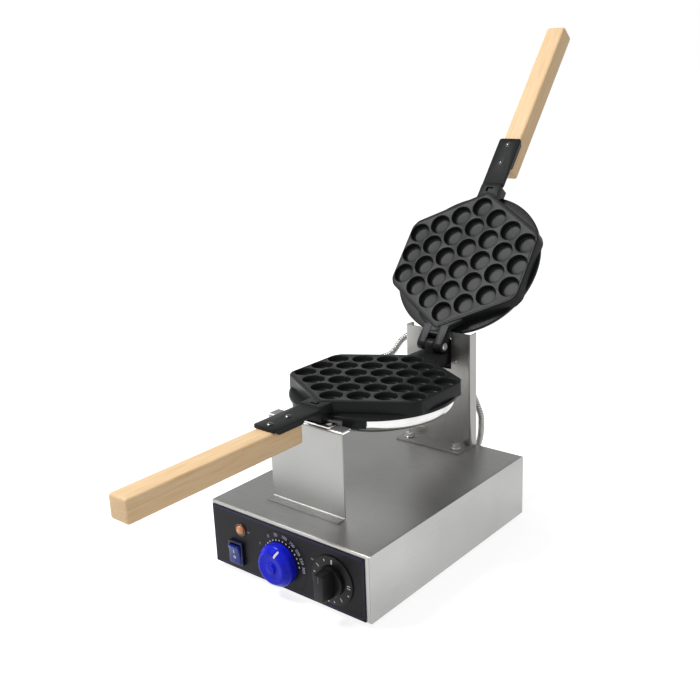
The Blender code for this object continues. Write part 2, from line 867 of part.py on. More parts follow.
def front_bracket(root):
    """A sheet folded forward at its foot and back at its top, with two studs and their nuts."""
    foot_z = box_height + seat_gap
    foot_top = foot_z + bracket_sheet
    path = [(bracket_y - bracket_foot, foot_top), (bracket_y, foot_top), (bracket_y, bracket_top),
            (bracket_y + bracket_shelf, bracket_top)]
    outline = folded(path, bracket_sheet, bracket_bend, side=-1)
    half = bracket_width / 2
    low, high = bracket_centre_x - half, bracket_centre_x + half
    bracket = piece("front_bracket", along_x(outline, low, high), root, steel())
    c = bracket_corner
    z = foot_top + bracket_bend
    corner = along_y([(low - cut_overrun, z), (low + c, z), (low - cut_overrun, z + c + cut_overrun)],
                     bracket_y - cut_overrun, bracket_y + bracket_sheet + cut_overrun)
    cut(bracket, corner)
    studs = bmesh.new()
    for x in bracket_stud_places():
        prism(circle(screw_radius, screw_round_steps, (x, bracket_y - bracket_foot / 2)),
              foot_z - bracket_stud_length, foot_z + bracket_sheet / 2, studs)
    fuse(bracket, studs)
    holes = bmesh.new()
    for x in rest_screw_places():
        prism(circle(screw_radius + seat_gap, screw_round_steps, (x, rest_y())),
              bracket_top - bracket_sheet - cut_overrun, bracket_top + cut_overrun, holes)
    cut(bracket, holes)
    nut_top = box_height - box_sheet - seat_gap
    for i, x in enumerate(bracket_stud_places()):
        centre = (x, bracket_y - bracket_foot / 2)
        nut = piece("bracket_nut_%d" % (i + 1),
                    prism(hexagon(bracket_nut_width, centre), nut_top - bracket_nut_height, nut_top),
                    root, bright_steel())
        cut(nut, prism(circle(screw_radius + seat_gap, screw_round_steps, centre),
                       nut_top - bracket_nut_height - cut_overrun, nut_top + cut_overrun))
    return bracket


def rest_y():
    return bracket_y + bracket_shelf / 2


def rest_screw_places():
    reach = rest_length / 2 - rest_screw_inset
    return (-reach, reach)


def rest_plate(root):
    """The bright strip on the bracket's shelf that the closed pans rest on, with its screws."""
    low = bracket_top + seat_gap
    outline = rounded(rectangle(rest_length, rest_width, (0, rest_y())), rest_thickness, 2)
    plate = piece("pan_rest_plate", prism(outline, low, low + rest_thickness), root, bright_steel())
    holes = bmesh.new()
    for x in rest_screw_places():
        prism(circle(screw_radius + seat_gap, screw_round_steps, (x, rest_y())),
              low - cut_overrun, low + rest_thickness + cut_overrun, holes)
    cut(plate, holes)
    for i, x in enumerate(rest_screw_places()):
        screw("rest_screw_%d" % (i + 1), root, (x, rest_y(), low + rest_thickness + seat_gap))


def rear_column(root):
    """A channel with return lips, a notched web and a foot bent forward."""
    half = column_width / 2
    back = column_y + column_depth
    low = box_height + seat_gap
    path = [(half - column_lip, back), (half, back), (half, column_y),
            (-half, column_y), (-half, back), (-half + column_lip, back)]
    outline = folded(path, column_sheet, column_bend, side=-1)
    column = piece("rear_column", prism(outline, low, column_top), root, steel())
    foot = rounded(rectangle(column_width, column_foot + column_sheet / 2,
                             (0, column_y - column_foot / 2 + column_sheet / 4)),
                   [column_bend, column_bend, 0, 0], bend_steps)
    fuse(column, prism(foot, low, low + column_sheet))
    notch = rectangle(column_notch_width, column_top - column_notch_bottom + cut_overrun,
                      (0, (column_top + column_notch_bottom + cut_overrun) / 2))
    openings = along_y(notch, column_y - cut_overrun, column_y + column_sheet + cut_overrun)
    relief = column_lip_relief + cut_overrun
    for side in (-1, 1):
        x = side * (half - column_bend - column_lip / 2)
        along_y(rectangle(column_lip, relief, (x, column_top + cut_overrun - relief / 2)),
                back - column_sheet - cut_overrun, back + cut_overrun, openings)
        prism(circle(bolt_radius + seat_gap, small_round_steps,
                     (side * bolt_spacing / 2, column_y - column_foot / 2)),
              low - cut_overrun, low + column_sheet + cut_overrun, openings)
        along_y(circle(screw_radius + seat_gap, screw_round_steps,
                       (side * bearing_screw_spacing / 2, pivot_z - bearing_drop / 2)),
                column_y - cut_overrun, column_y + column_sheet + cut_overrun, openings)
    return cut(column, openings)


def column_bolts(root):
    """Hex bolts with washers through the column's foot and the cover, nuts below."""
    seat = box_height + seat_gap + column_sheet + seat_gap
    under = box_height - box_sheet - seat_gap - seat
    for i, side in enumerate((-1, 1)):
        washer = [(0, 0), (bolt_washer_radius, 0), (bolt_washer_radius, bolt_washer_thickness),
                  (0, bolt_washer_thickness)]
        bolt = piece("column_bolt_%d" % (i + 1), turned(washer, small_round_steps), root,
                     bright_steel(), (side * bolt_spacing / 2, column_y - column_foot / 2, seat))
        top = bolt_washer_thickness + bolt_head_height
        fuse(bolt, prism(hexagon(bolt_head_width), bolt_washer_thickness / 2, top))
        fuse(bolt, prism(circle(bolt_radius, small_round_steps), under - bolt_grip,
                         bolt_washer_thickness / 2))
        fuse(bolt, prism(hexagon(bolt_head_width), under - bolt_head_height, under))


def cup_places():
    """Centres of the thirty cups, on a 60 degree lattice with its long rows in the middle."""
    places = []
    for i in range(longest_row):
        for j in range(longest_row):
            if abs(i - j) <= row_step_limit:
                x = cup_pitch * sqrt(3) / 2 * (j - i)
                places.append((x, cup_pitch / 2 * (i + j - longest_row + 1)))
    return places


def cup_profile():
    """Profile of one cup: steep at the mouth, round towards a shallow floor."""
    points = [(cup_radius, cut_overrun)]
    for share in cup_level_shares:
        points.append((cup_radius * (1 - share ** cup_shape_power) ** (1 / cup_shape_power),
                       -cup_depth * share))
    points.append((0, -cup_depth))
    return [(0, cut_overrun)] + points


def hex_outline(grow=0.0):
    """The plate's outline: two sides along the handle, four slanting to its two tips.

    The four side corners are cut back, so that they stand within the round rim."""
    w = hex_half_width + grow
    s = hex_half_side + grow * tan(pi / 6)
    tip = s + w * tan(pi / 6)
    low = s - hex_corner_cut
    near, high = w - hex_corner_cut * cos(pi / 6), s + hex_corner_cut / 2
    corners = [(w, -low), (w, low), (near, high), (0, tip), (-near, high),
               (-w, low), (-w, -low), (-near, -high), (0, -tip), (near, -high)]
    return rounded(corners, hex_corner, bend_steps)


def casting(name, frame, hinge_parts):
    """One baking plate: hexagonal face on a round rim, thirty cups, tongue and hinge end."""
    form = bmesh.new()
    levels = (
        (hex_outline(-hex_edge), 0),
        (hex_outline(), -hex_edge),
        (hex_outline(hex_draft), -hex_depth - rim_depth / 2),
    )
    rings = [[form.verts.new((x, y, z)) for x, y in outline] for outline, z in levels]
    form.faces.new(rings[0])
    form.faces.new(list(reversed(rings[-1])))
    for upper, lower in zip(rings, rings[1:]):
        for i in range(len(upper)):
            j = (i + 1) % len(upper)
            form.faces.new((upper[i], upper[j], lower[j], lower[i]))
    plate = piece(name, form, frame, black_cast())
    edge = rim_depth / 4
    rim = [(0, -casting_depth), (rim_radius, -casting_depth), (rim_radius, -hex_depth - edge),
           (rim_radius - edge, -hex_depth), (0, -hex_depth)]
    fuse(plate, turned(rim, rim_steps))
    fuse(plate, neck())
    fuse(plate, tongue())
    fuse(plate, tongue_lips())
    for extra in hinge_parts:
        fuse(plate, extra)
    stud_end = dish_bottom_depth + dish_nut_height + seat_gap
    fuse(plate, prism(circle(stud_radius, screw_round_steps), -stud_end, -hex_depth))
    cups = bmesh.new()
    for x, y in cup_places():
        turned(cup_profile(), cup_steps, cups, Matrix.Translation((x, y, 0)))
    cut(plate, cups)
    bar, stem, top = latch_slot_width / 2, latch_slot_length / 2, -latch_slot_y
    middle, end = top - latch_slot_length, top - 2 * latch_slot_length
    tee = [(bar, top), (-bar, top), (-bar, middle), (-stem, middle), (-stem, end), (stem, end),
           (stem, middle), (bar, middle)]
    holes = prism(tee, -latch_slot_depth, cut_overrun)
    for y in rivet_positions:
        prism(circle(rivet_radius + seat_gap, screw_round_steps, (0, -y)),
              -tongue_drop - tongue_thickness - cut_overrun, cut_overrun, holes)
    return cut(plate, holes)


def neck():
    """The short wide piece between the plate's tip and the tongue."""
    low = tongue_drop + tongue_thickness
    side = [(-neck_start, -neck_drop), (-neck_end, -neck_drop), (-neck_end, -low),
            (-neck_start, -hex_depth)]
    return along_x(side, -neck_width / 2, neck_width / 2)


def tongue():
    """The stepped strap that lies on the handle."""
    low = tongue_drop + tongue_thickness
    top = neck_drop + tongue_wall / 2
    side = [(-neck_start, -top), (-neck_end, -top), (-tongue_slope_end, -tongue_drop),
            (-tongue_end, -tongue_drop), (-tongue_end, -low), (-neck_start, -low)]
    return along_x(side, -tongue_width / 2, tongue_width / 2)


def tongue_lips():
    """Side lips over the handle, the neck's boss on the rest plate and the two rim pads."""
    low = tongue_drop + tongue_thickness
    c = tongue_corner
    lip = [(-tongue_lip_start, -tongue_drop - tongue_thickness / 2),
           (-tongue_lip_start, -tongue_drop - tongue_lip + c),
           (-tongue_lip_start - c, -tongue_drop - tongue_lip),
           (-tongue_end + c, -tongue_drop - tongue_lip),
           (-tongue_end, -tongue_drop - tongue_lip + c),
           (-tongue_end, -tongue_drop - tongue_thickness / 2)]
    pad_middle = (0, -rim_radius + (hex_edge + pad_length) / 2)
    form = None
    for side in (-1, 1):
        outer = side * tongue_width / 2
        inner = outer - side * tongue_wall
        form = along_x(lip, min(outer, inner), max(outer, inner), form)
        pad = prism(rectangle(pad_width, pad_length - hex_edge, pad_middle),
                    -casting_depth - pad_depth, -casting_depth + rim_depth / 2)
        turn = Matrix.Rotation(side * pad_angle, 4, "Z")
        bmesh.ops.transform(pad, verts=pad.verts, matrix=turn)
        form = merged(form, pad)
    boss_back = rim_radius - pad_length
    boss = rectangle(neck_boss_width, neck_end - boss_back, (0, -(neck_end + boss_back) / 2))
    return merged(form, prism(boss, -neck_boss_depth, -low + tongue_thickness / 2))


def lower_hinge_parts():
    """The arm to the turning head and the knuckle that rises to the hinge axis."""
    axis_z = hinge_rise + parting_gap / 2
    near = hinge_distance - ear_radius
    arm = [(neck_start, -neck_drop), (near - arm_slope_start, -neck_drop),
           (near - arm_slope_end, -arm_drop), (arm_end, -arm_drop),
           (arm_end, -hex_depth), (neck_start, -hex_depth)]
    knuckle = [(near, -hex_depth / 2)]
    knuckle += list(reversed(arc((hinge_distance, axis_z), ear_radius, 0, pi, 8)))
    knuckle += [(hinge_distance + ear_radius, -hex_depth / 2)]
    half = knuckle_width / 2
    return [along_x(arm, -lug_half_width, lug_half_width), along_x(knuckle, -half, half)]


def upper_hinge_parts():
    """The two ears of the lid on either side of the knuckle."""
    axis_z = -(hinge_rise - parting_gap / 2)
    outline = [(neck_start, -neck_drop), (hinge_distance, axis_z + ear_radius)]
    outline += list(reversed(arc((hinge_distance, axis_z), ear_radius, -pi / 2, pi / 2, 8)))[1:]
    outline += [(neck_start, -hex_depth)]
    inner = knuckle_width / 2 + ear_gap
    ears = None
    for side in (-1, 1):
        low, high = sorted((side * inner, side * (inner + ear_width)))
        ears = along_x(outline, low, high, ears)
    bridge = along_x([(neck_start, -neck_drop), (rim_radius, -neck_drop), (rim_radius, -hex_depth),
                      (neck_start, -hex_depth)], -inner - ear_width / 2, inner + ear_width / 2)
    return [ears, bridge]


def hinge_pin(root):
    """The bright pin through ears and knuckle, with a head at each end."""
    reach = knuckle_width / 2 + ear_gap + ear_width + seat_gap
    head = reach + pin_head_thickness
    profile = [(0, -head), (pin_head_radius, -head), (pin_head_radius, -reach), (pin_radius, -reach),
               (pin_radius, reach), (pin_head_radius, reach), (pin_head_radius, head), (0, head)]
    piece("hinge_pin", turned(profile, small_round_steps), root, bright_steel(),
          (0, hinge_y, hinge_z), (0, pi / 2, 0))


def hinge_bore(plate, axis_z):
    """Cut the pin's hole through a casting's lugs."""
    hole = circle(pin_radius + seat_gap, small_round_steps, (hinge_distance, axis_z))
    reach = lug_half_width + cut_overrun
    return cut(plate, along_x(hole, -reach, reach))


def turning_head(root):
    """The angle under the lower plate's arm, its pivot, and the bearing plate on the column."""
    half = head_width / 2
    top = pivot_z + head_top_rise
    foot_top = lower_pan_z - hex_depth - seat_gap
    foot_low = foot_top - head_foot_thickness
    back = head_y + head_wall
    outline = [(head_y - head_foot_length, foot_low), (back, foot_low), (back, top), (head_y, top),
               (head_y, foot_top), (head_y - head_foot_length, foot_top)]
    head = piece("turning_head", along_x(outline, -half, half), root, black_cast())
    hole = circle(pivot_spigot_radius + seat_gap, small_round_steps, (0, pivot_z))
    holes = along_y(hole, head_y - cut_overrun, back + cut_overrun)
    cut(head, holes)
    for x in (-half / 2, half / 2):
        place = Matrix.Translation((x, head_y - head_foot_length / 2, foot_low))
        fuse(head, screw_form(head_foot_thickness, place @ Matrix.Rotation(pi, 4, "X")))


def pivot(root):
    """The pivot shaft, the bearing plate it turns in, and its washer and nut."""
    start = head_y + seat_gap
    shoulder = head_y + head_wall + seat_gap
    plate_front = column_y + column_sheet + seat_gap
    plate_back = plate_front + bearing_thickness
    end = plate_back + pivot_overhang
    profile = [(0, start), (pivot_spigot_radius, start), (pivot_spigot_radius, shoulder),
               (pivot_radius, shoulder), (pivot_radius, end), (0, end)]
    profile = [(r, y - start) for r, y in profile]
    piece("pivot_shaft", turned(profile, small_round_steps), root, bright_steel(),
          (0, start, pivot_z), (-pi / 2, 0, 0))
    centre = (0, pivot_z + (bearing_top_rise - bearing_drop) / 2)
    outline = rounded(rectangle(bearing_width, bearing_top_rise + bearing_drop, centre), bracket_bend, 2)
    plate = piece("bearing_plate", along_y(outline, plate_front, plate_back), root, black_cast())
    holes = along_y(circle(pivot_radius + turn_gap, small_round_steps, (0, pivot_z)),
                    plate_front - cut_overrun, plate_back + cut_overrun)
    places = [side * bearing_screw_spacing / 2 for side in (-1, 1)]
    cut(plate, holes)
    for x in places:
        place = facing_rear(x, pivot_z - bearing_drop / 2, plate_back - seat_gap)
        fuse(plate, screw_form(column_sheet + bearing_thickness - screw_head_height, place))
    low = plate_back + seat_gap
    washer = [(pivot_radius + seat_gap, 0), (nut_washer_radius, 0),
              (nut_washer_radius, nut_washer_thickness),
              (pivot_radius + seat_gap, nut_washer_thickness)]
    nut = piece("pivot_nut", turned(washer, small_round_steps), root, bright_steel(),
                (0, low, pivot_z), (-pi / 2, 0, 0))
    top = nut_washer_thickness + nut_thickness
    fuse(nut, prism(hexagon(nut_width), nut_washer_thickness / 2, top))
    cut(nut, prism(circle(pivot_radius + seat_gap, small_round_steps), -cut_overrun,
                   top + cut_overrun))


def pan_fittings(frame, side):
    """Heater, clamp, dish and nut under one plate, in the plate's own frame."""
    heater_z = -casting_depth - seat_gap - heater_tube_radius
    clamp_top = heater_z - heater_tube_radius - seat_gap
    piece(side + "_heater", heater_form(), frame, material("heater_steel", (0.2, 0.19, 0.18), 0.5, 1.0),
          (0, 0, heater_z))
    bar = rounded(rectangle(clamp_length, clamp_width), clamp_width / 4, 2)
    clamp = piece(side + "_heater_clamp", prism(bar, clamp_top - clamp_thickness, clamp_top), frame, steel())
    cut(clamp, prism(circle(stud_radius + seat_gap, screw_round_steps),
                     clamp_top - clamp_thickness - cut_overrun, clamp_top + cut_overrun))
    top = -casting_depth - seat_gap
    low = -dish_bottom_depth
    turn_centre = (dish_radius - dish_corner, low + dish_corner)
    outer = arc(turn_centre, dish_corner, 0, -pi / 2, dish_corner_steps)
    inner = arc(turn_centre, dish_corner - dish_sheet, -pi / 2, 0, dish_corner_steps)
    hole = stud_radius + seat_gap
    profile = [(dish_radius, top)] + outer + [(hole, low), (hole, low + dish_sheet)] + inner
    profile += [(dish_radius - dish_sheet, top)]
    dish = piece(side + "_dish", turned(profile, dish_steps), frame, bright_steel())
    nut = prism(hexagon(dish_nut_width), low - seat_gap - dish_nut_height, low - seat_gap)
    nut = piece(side + "_dish_nut", nut, frame, bright_steel())
    cut(nut, prism(circle(hole, screw_round_steps), low - 2 * seat_gap - dish_nut_height - cut_overrun,
                   low + cut_overrun))
    return dish


def heater_form():
    """A round tubular element, open at the hinge side, with two tails towards the middle."""
    start = pi / 2 + heater_gap_angle / 2
    end = pi / 2 - heater_gap_angle / 2 + 2 * pi
    path = [Vector((x, y, 0)) for x, y in arc((0, 0), heater_ring_radius, start, end, heater_steps)]
    inward = -Vector((cos(start), sin(start), 0)) * heater_tail_length
    path.insert(0, path[0] + inward)
    inward = -Vector((cos(end), sin(end), 0)) * heater_tail_length
    path.append(path[-1] + inward)
    return swept(path, heater_tube_radius, heater_sides)


def swept(path, radius, steps):
    """A plain round tube in one plane along the path, closed at both ends."""
    form = bmesh.new()
    rings = []
    for i, point in enumerate(path):
        before = (point - path[i - 1]).normalized() if i else (path[1] - point).normalized()
        after = (path[i + 1] - point).normalized() if i < len(path) - 1 else before
        heading = (before + after).normalized()
        side = heading.cross(Vector((0, 0, 1))).normalized()
        stretch = 1 / max(0.5, heading.dot(before))
        ring = [point + side * (x * stretch) + Vector((0, 0, y)) for x, y in circle(radius, steps)]
        rings.append([form.verts.new(p) for p in ring])
    for low, high in zip(rings, rings[1:]):
        for i in range(steps):
            j = (i + 1) % steps
            form.faces.new((low[i], low[j], high[j], high[i]))
    form.faces.new(list(reversed(rings[0])))
    form.faces.new(rings[-1])
    return form


def handle(name, frame):
    """A beech handle that fits between the tongue's lips."""
    width = tongue_width - 2 * tongue_wall - 2 * seat_gap
    top = -tongue_drop - tongue_thickness - seat_gap
    form = bmesh.new()
    bmesh.ops.create_cube(form, size=1)
    bmesh.ops.scale(form, vec=(width, handle_length, handle_height), verts=form.verts)
    bmesh.ops.bevel(form, geom=form.edges[:], offset=handle_round, segments=handle_round_steps,
                    profile=0.5, affect="EDGES", material=-1)
    wood = material("pale_beech", (0.78, 0.56, 0.33), 0.55)
    centre = (0, -handle_start - handle_length / 2, top - handle_height / 2)
    grip = piece(name, form, frame, wood, centre)
    holes = bmesh.new()
    for y in rivet_positions:
        prism(circle(rivet_radius + seat_gap, screw_round_steps, (0, -y - centre[1])),
              handle_height / 2 - rivet_length - seat_gap, handle_height / 2 + cut_overrun, holes)
    return cut(grip, holes)


def rivets(side, frame):
    """Two domed rivets that hold the handle in the tongue."""
    seat = -tongue_drop + seat_gap
    shank = -seat_gap - tongue_thickness - seat_gap - rivet_length + rivet_end_gap
    for i, y in enumerate(rivet_positions):
        profile = [(0, shank), (rivet_radius, shank), (rivet_radius, 0),
                   (rivet_head_radius, 0), (rivet_head_radius, rivet_head_height / 2),
                   (rivet_crown_radius, rivet_head_height), (0, rivet_head_height)]
        piece("%s_handle_rivet_%d" % (side, i + 1), turned(profile, screw_round_steps), frame,
              bright_steel(), (0, -y, seat))


def hose_route(hinge_part, box_part):
    """A conduit's free points, from the two places that they are measured from."""
    hinge = Vector((0, hinge_y, hinge_z))
    wall = Vector((0, box_depth, box_gland_z))
    return [hinge + Vector(p) for p in hinge_part] + [wall + Vector(p) for p in box_part]


def smooth_route(ends, headings, route, step):
    """Places a step apart on a smooth curve that leaves both ends straight."""
    lead = 2 * hose_radius
    first = ends[0] + headings[0] * lead
    last = ends[1] + headings[1] * lead
    knots = [first] + route + [last]
    before = knots[1] - headings[0] * 2 * (knots[1] - first).length
    after = knots[-2] - headings[1] * 2 * (knots[-2] - last).length
    knots = [before] + knots + [after]
    fine = [ends[0]]
    for a, b, c, d in zip(knots, knots[1:], knots[2:], knots[3:]):
        for i in range(curve_steps):
            t = i / curve_steps
            fine.append(0.5 * (2 * b + (c - a) * t + (2 * a - 5 * b + 4 * c - d) * t * t
                               + (3 * b - a - 3 * c + d) * t * t * t))
    fine += [last, ends[1]]
    total = sum((q - p).length for p, q in zip(fine, fine[1:]))
    count = max(2, ceil(total / step))
    places, walked, index = [fine[0]], 0.0, 0
    for k in range(1, count):
        goal = total * k / count
        while walked + (fine[index + 1] - fine[index]).length < goal:
            walked += (fine[index + 1] - fine[index]).length
            index += 1
        span = fine[index + 1] - fine[index]
        places.append(fine[index] + span * ((goal - walked) / span.length))
    places.append(fine[-1])
    return places, total


def hose_curve(name, places, radii):
    """A round tube as a curve with a radius at each place, turned into a mesh."""
    data = bpy.data.curves.new(name, "CURVE")
    data.dimensions = "3D"
    data.bevel_depth = 1.0
    data.bevel_resolution = 2
    data.use_fill_caps = True
    spline = data.splines.new("POLY")
    spline.points.add(len(places) - 1)
    for point, place, radius in zip(spline.points, places, radii):
        point.co = (*place, 1)
        point.radius = radius
    source = bpy.data.objects.new(name + "_curve", data)
    mesh = bpy.data.meshes.new_from_object(source)
    bpy.data.objects.remove(source)
    form = bmesh.new()
    form.from_mesh(mesh)
    bmesh.ops.remove_doubles(form, verts=form.verts, dist=weld_distance)
    bpy.data.meshes.remove(mesh)
    return form


def ribbed_hose(name, root, start, start_heading, route, end, end_heading):
    """A ribbed conduit that leaves both glands straight and follows its route between them."""
    ends, headings = (start, end), (start_heading, end_heading)
    places, total = smooth_route(ends, headings, route, hose_rib_pitch / 2)
    radii = [hose_groove_radius if i % 2 else hose_radius for i in range(len(places))]
    hose = piece(name, hose_curve(name, places, radii), root, steel("hose_steel"))
    inner = smooth_route(ends, headings, route, hose_bore_step)[0]
    inner[0] = inner[0] - start_heading * cut_overrun
    inner[-1] = inner[-1] - end_heading * cut_overrun
    cut(hose, hose_curve(name + "_bore", inner, [hose_bore_radius] * len(inner)))
    print(name, "length", round(total, 4), "ribs", len(places) // 2)
    return hose


def gland(name, root, seat, heading):
    """A conduit fitting: stem through the wall, flange on it and a sleeve outwards."""
    profile = [
        (hose_bore_radius, -gland_stem_length),
        (gland_stem_radius, -gland_stem_length),
        (gland_stem_radius, 0),
        (gland_flange_radius, 0),
        (gland_flange_radius, gland_flange),
        (gland_radius, gland_flange),
        (gland_radius, gland_length),
        (hose_bore_radius, gland_length),
    ]
    turn = heading.to_track_quat("Z", "Y").to_euler()
    return piece(name, turned(profile, gland_steps), root, bright_steel(), seat, turn)


def conduits(root, upper_dish, lower_dish):
    """Both conduits, from their dishes to the rear wall of the base."""
    down = Vector((0, 0, -1))
    gland("upper_pan_gland", upper_dish.parent,
          Vector((-upper_gland_x, upper_gland_y, -dish_bottom_depth - seat_gap)), down)
    clear = gland_length + seat_gap
    rear = Vector((0, 1, 0))
    back_y = box_depth + seat_gap
    along = Vector((0, -cos(open_angle), sin(open_angle)))
    behind = Vector((0, sin(open_angle), cos(open_angle)))
    hinge = Vector((0, hinge_y, hinge_z))
    upper_seat = hinge + along * (hinge_distance - upper_gland_y)
    upper_seat += behind * (dish_bottom_depth + seat_gap - hinge_rise + parting_gap / 2)
    upper_seat.x = upper_gland_x
    foot = Vector((box_gland_x, back_y, box_gland_z))
    gland("upper_box_gland", root, foot, rear)
    route = hose_route(upper_hose_hinge_route, upper_hose_box_route)
    ribbed_hose("upper_conduit", root, upper_seat + behind * clear, behind, route,
                foot + rear * clear, rear)
    out = Vector((-sin(lower_gland_angle), cos(lower_gland_angle), 0))
    lower_seat = Vector((0, pan_centre_y, lower_pan_z - lower_gland_depth))
    lower_seat += out * (dish_radius + seat_gap)
    foot = Vector((-box_gland_x, back_y, box_gland_z))
    gland("lower_pan_gland", root, lower_seat, out)
    gland("lower_box_gland", root, foot, rear)
    route = hose_route(lower_hose_hinge_route, lower_hose_box_route)
    ribbed_hose("lower_conduit", root, lower_seat + out * clear, out, route,
                foot + rear * clear, rear)
    hole = circle(gland_stem_radius + seat_gap, small_round_steps, (-upper_gland_x, upper_gland_y))
    cut(upper_dish, prism(hole, -dish_bottom_depth - cut_overrun,
                          -dish_bottom_depth + dish_sheet + cut_overrun))
    side_hole = along_y(circle(gland_stem_radius + seat_gap, small_round_steps, (0, -lower_gland_depth)),
                        dish_radius - dish_sheet - 2 * cut_overrun, dish_radius + cut_overrun)
    bmesh.ops.rotate(side_hole, verts=side_hole.verts, cent=(0, 0, 0),
                     matrix=Matrix.Rotation(lower_gland_angle, 3, "Z"))
    cut(lower_dish, side_hole)


def pans(root):
    """Both pans: the lower one fixed, the upper one on the hinge in its open pose."""
    lower = empty("lower_pan", root, (0, pan_centre_y, lower_pan_z))
    hinge = empty("lid_hinge", root, (0, hinge_y, hinge_z), (-open_angle, 0, 0))
    upper = empty("upper_pan", hinge, (0, -hinge_distance, -hinge_rise + parting_gap / 2), (0, pi, 0))
    plate = casting("lower_casting", lower, lower_hinge_parts())
    hinge_bore(plate, hinge_rise + parting_gap / 2)
    screw_holes = bmesh.new()
    for x in (-head_width / 4, head_width / 4):
        y = head_y - head_foot_length / 2 - pan_centre_y
        prism(circle(screw_radius + seat_gap, screw_round_steps, (x, y)),
              -hex_depth - cut_overrun, -hex_depth + screw_grip / 2, screw_holes)
    cut(plate, screw_holes)
    plate = casting("upper_casting", upper, upper_hinge_parts())
    hinge_bore(plate, -(hinge_rise - parting_gap / 2))
    hinge_pin(root)
    dishes = {}
    for side, frame in (("lower", lower), ("upper", upper)):
        dishes[side] = pan_fittings(frame, side)
        handle(side + "_handle", frame)
        rivets(side, frame)
    return dishes


def stand_on_floor(root):
    """Centre the machine over the origin and put its feet on Z = 0."""
    bpy.context.view_layer.update()
    solids = [o for o in bpy.data.objects if o.type == "MESH" and not o.hide_render]
    corners = [o.matrix_world @ Vector(c) for o in solids for c in o.bound_box]
    root.location.z = -min(c.z for c in corners)
    points = [o.matrix_world @ v.co for o in solids for v in o.data.vertices]
    root.location.y = -(min(p.y for p in points) + max(p.y for p in points)) / 2
    bpy.context.view_layer.update()


def build():
    clear_scene()
    root = empty("waffle_maker", None)
    base_cover(root)
    side_panels(root)
    bottom_plate(root)
    feet(root)
    control_panel(root)
    pilot_lamp(root)
    rocker_switch(root)
    thermostat(root)
    timer(root)
    terminal_block(root)
    mains_inlet(root)
    front_bracket(root)
    rest_plate(root)
    rear_column(root)
    column_bolts(root)
    dishes = pans(root)
    turning_head(root)
    pivot(root)
    conduits(root, dishes["upper"], dishes["lower"])
    stand_on_floor(root)
    print("root at", [round(v, 5) for v in root.location])
    print("lid open by", round(degrees(open_angle), 2), "degrees")


build()
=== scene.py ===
from math import ceil, cos, pi, radians, sin, sqrt

import bmesh
import bpy
from mathutils import Matrix, Vector
from mathutils.geometry import interpolate_bezier


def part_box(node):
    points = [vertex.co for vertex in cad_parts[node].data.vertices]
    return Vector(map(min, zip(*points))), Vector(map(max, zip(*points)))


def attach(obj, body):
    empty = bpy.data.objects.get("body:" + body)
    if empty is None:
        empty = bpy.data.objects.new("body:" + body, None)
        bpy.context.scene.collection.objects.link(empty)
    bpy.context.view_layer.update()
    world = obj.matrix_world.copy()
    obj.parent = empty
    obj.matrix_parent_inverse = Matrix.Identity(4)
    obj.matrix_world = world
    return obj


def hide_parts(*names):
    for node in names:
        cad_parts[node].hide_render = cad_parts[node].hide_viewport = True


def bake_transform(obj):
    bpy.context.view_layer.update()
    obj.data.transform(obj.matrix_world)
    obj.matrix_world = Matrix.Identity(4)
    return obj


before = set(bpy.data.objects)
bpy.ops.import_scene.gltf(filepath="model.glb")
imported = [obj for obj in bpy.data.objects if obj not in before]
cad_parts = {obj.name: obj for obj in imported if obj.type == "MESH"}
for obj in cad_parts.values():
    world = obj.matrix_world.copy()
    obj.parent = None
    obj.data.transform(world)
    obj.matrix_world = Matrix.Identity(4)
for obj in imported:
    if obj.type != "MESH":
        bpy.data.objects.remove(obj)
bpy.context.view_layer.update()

# Camera: it stands in front of the machine, to its right and a little above the open lid.
# Its lens and place were fitted to the box's corners and to the cup rows of both plates.
camera_place = Vector((0.6564, -0.86194, 0.5642))
camera_heading, camera_dip, camera_roll = radians(40.04), radians(16.88), radians(-2.27)
camera_lens, film_width = 48.4, 36


def placed(name, data):
    """Put a camera, a lamp or a mesh into the scene."""
    made = bpy.data.objects.new(name, data)
    bpy.context.collection.objects.link(made)
    return made


camera = placed("camera", bpy.data.cameras.new("camera"))
camera.data.lens = camera_lens
camera.data.sensor_width = film_width
camera.matrix_world = (Matrix.Translation(camera_place)
                       @ Matrix.Rotation(camera_heading, 4, "Z")
                       @ Matrix.Rotation(pi / 2 - camera_dip, 4, "X")
                       @ Matrix.Rotation(camera_roll, 4, "Z"))
bpy.context.scene.camera = camera
bpy.context.scene.view_settings.view_transform = "Standard"

# Floor and light: a pale photographer's floor under a bright sky of plain cloth, with one large
# soft lamp above the left front. The cloth is white to the camera, and where metal mirrors it low
# down. Higher up it is as bright as it lights.
floor_size = 60.0
floor_colour, floor_roughness, floor_gloss = (0.68, 0.68, 0.68), 0.9, 0.1
floor_lift = 0.71
white = (1, 1, 1, 1)
sky_light, high_sky_light, seen_sky_light = 0.58, 0.45, 1.0
low_cloth_start, low_cloth_end = 0.05, 0.35
lamp_power, lamp_size = 34, 0.8
lamp_place, lamp_aim = Vector((-0.98, -0.85, 1.95)), Vector((0, 0, 0.2))


def shader_of(surface):
    """The sockets of a material's shader."""
    return surface.node_tree.nodes["Principled BSDF"].inputs


def new_surface(name, colour, roughness, metallic=0.0, gloss=0.5, coat=0.0):
    """A material with its plain values set on the shader."""
    made = bpy.data.materials.new(name)
    made.use_nodes = True
    shader = shader_of(made)
    shader["Base Color"].default_value = (*colour, 1)
    for socket, amount in (("Roughness", roughness), ("Metallic", metallic),
                           ("Specular IOR Level", gloss), ("Coat Weight", coat)):
        shader[socket].default_value = amount
    return made


def feed(tree, socket, value):
    """Link a node's output to a socket, or set the socket to a plain number."""
    if isinstance(value, bpy.types.NodeSocket):
        tree.links.new(value, socket)
    else:
        socket.default_value = value


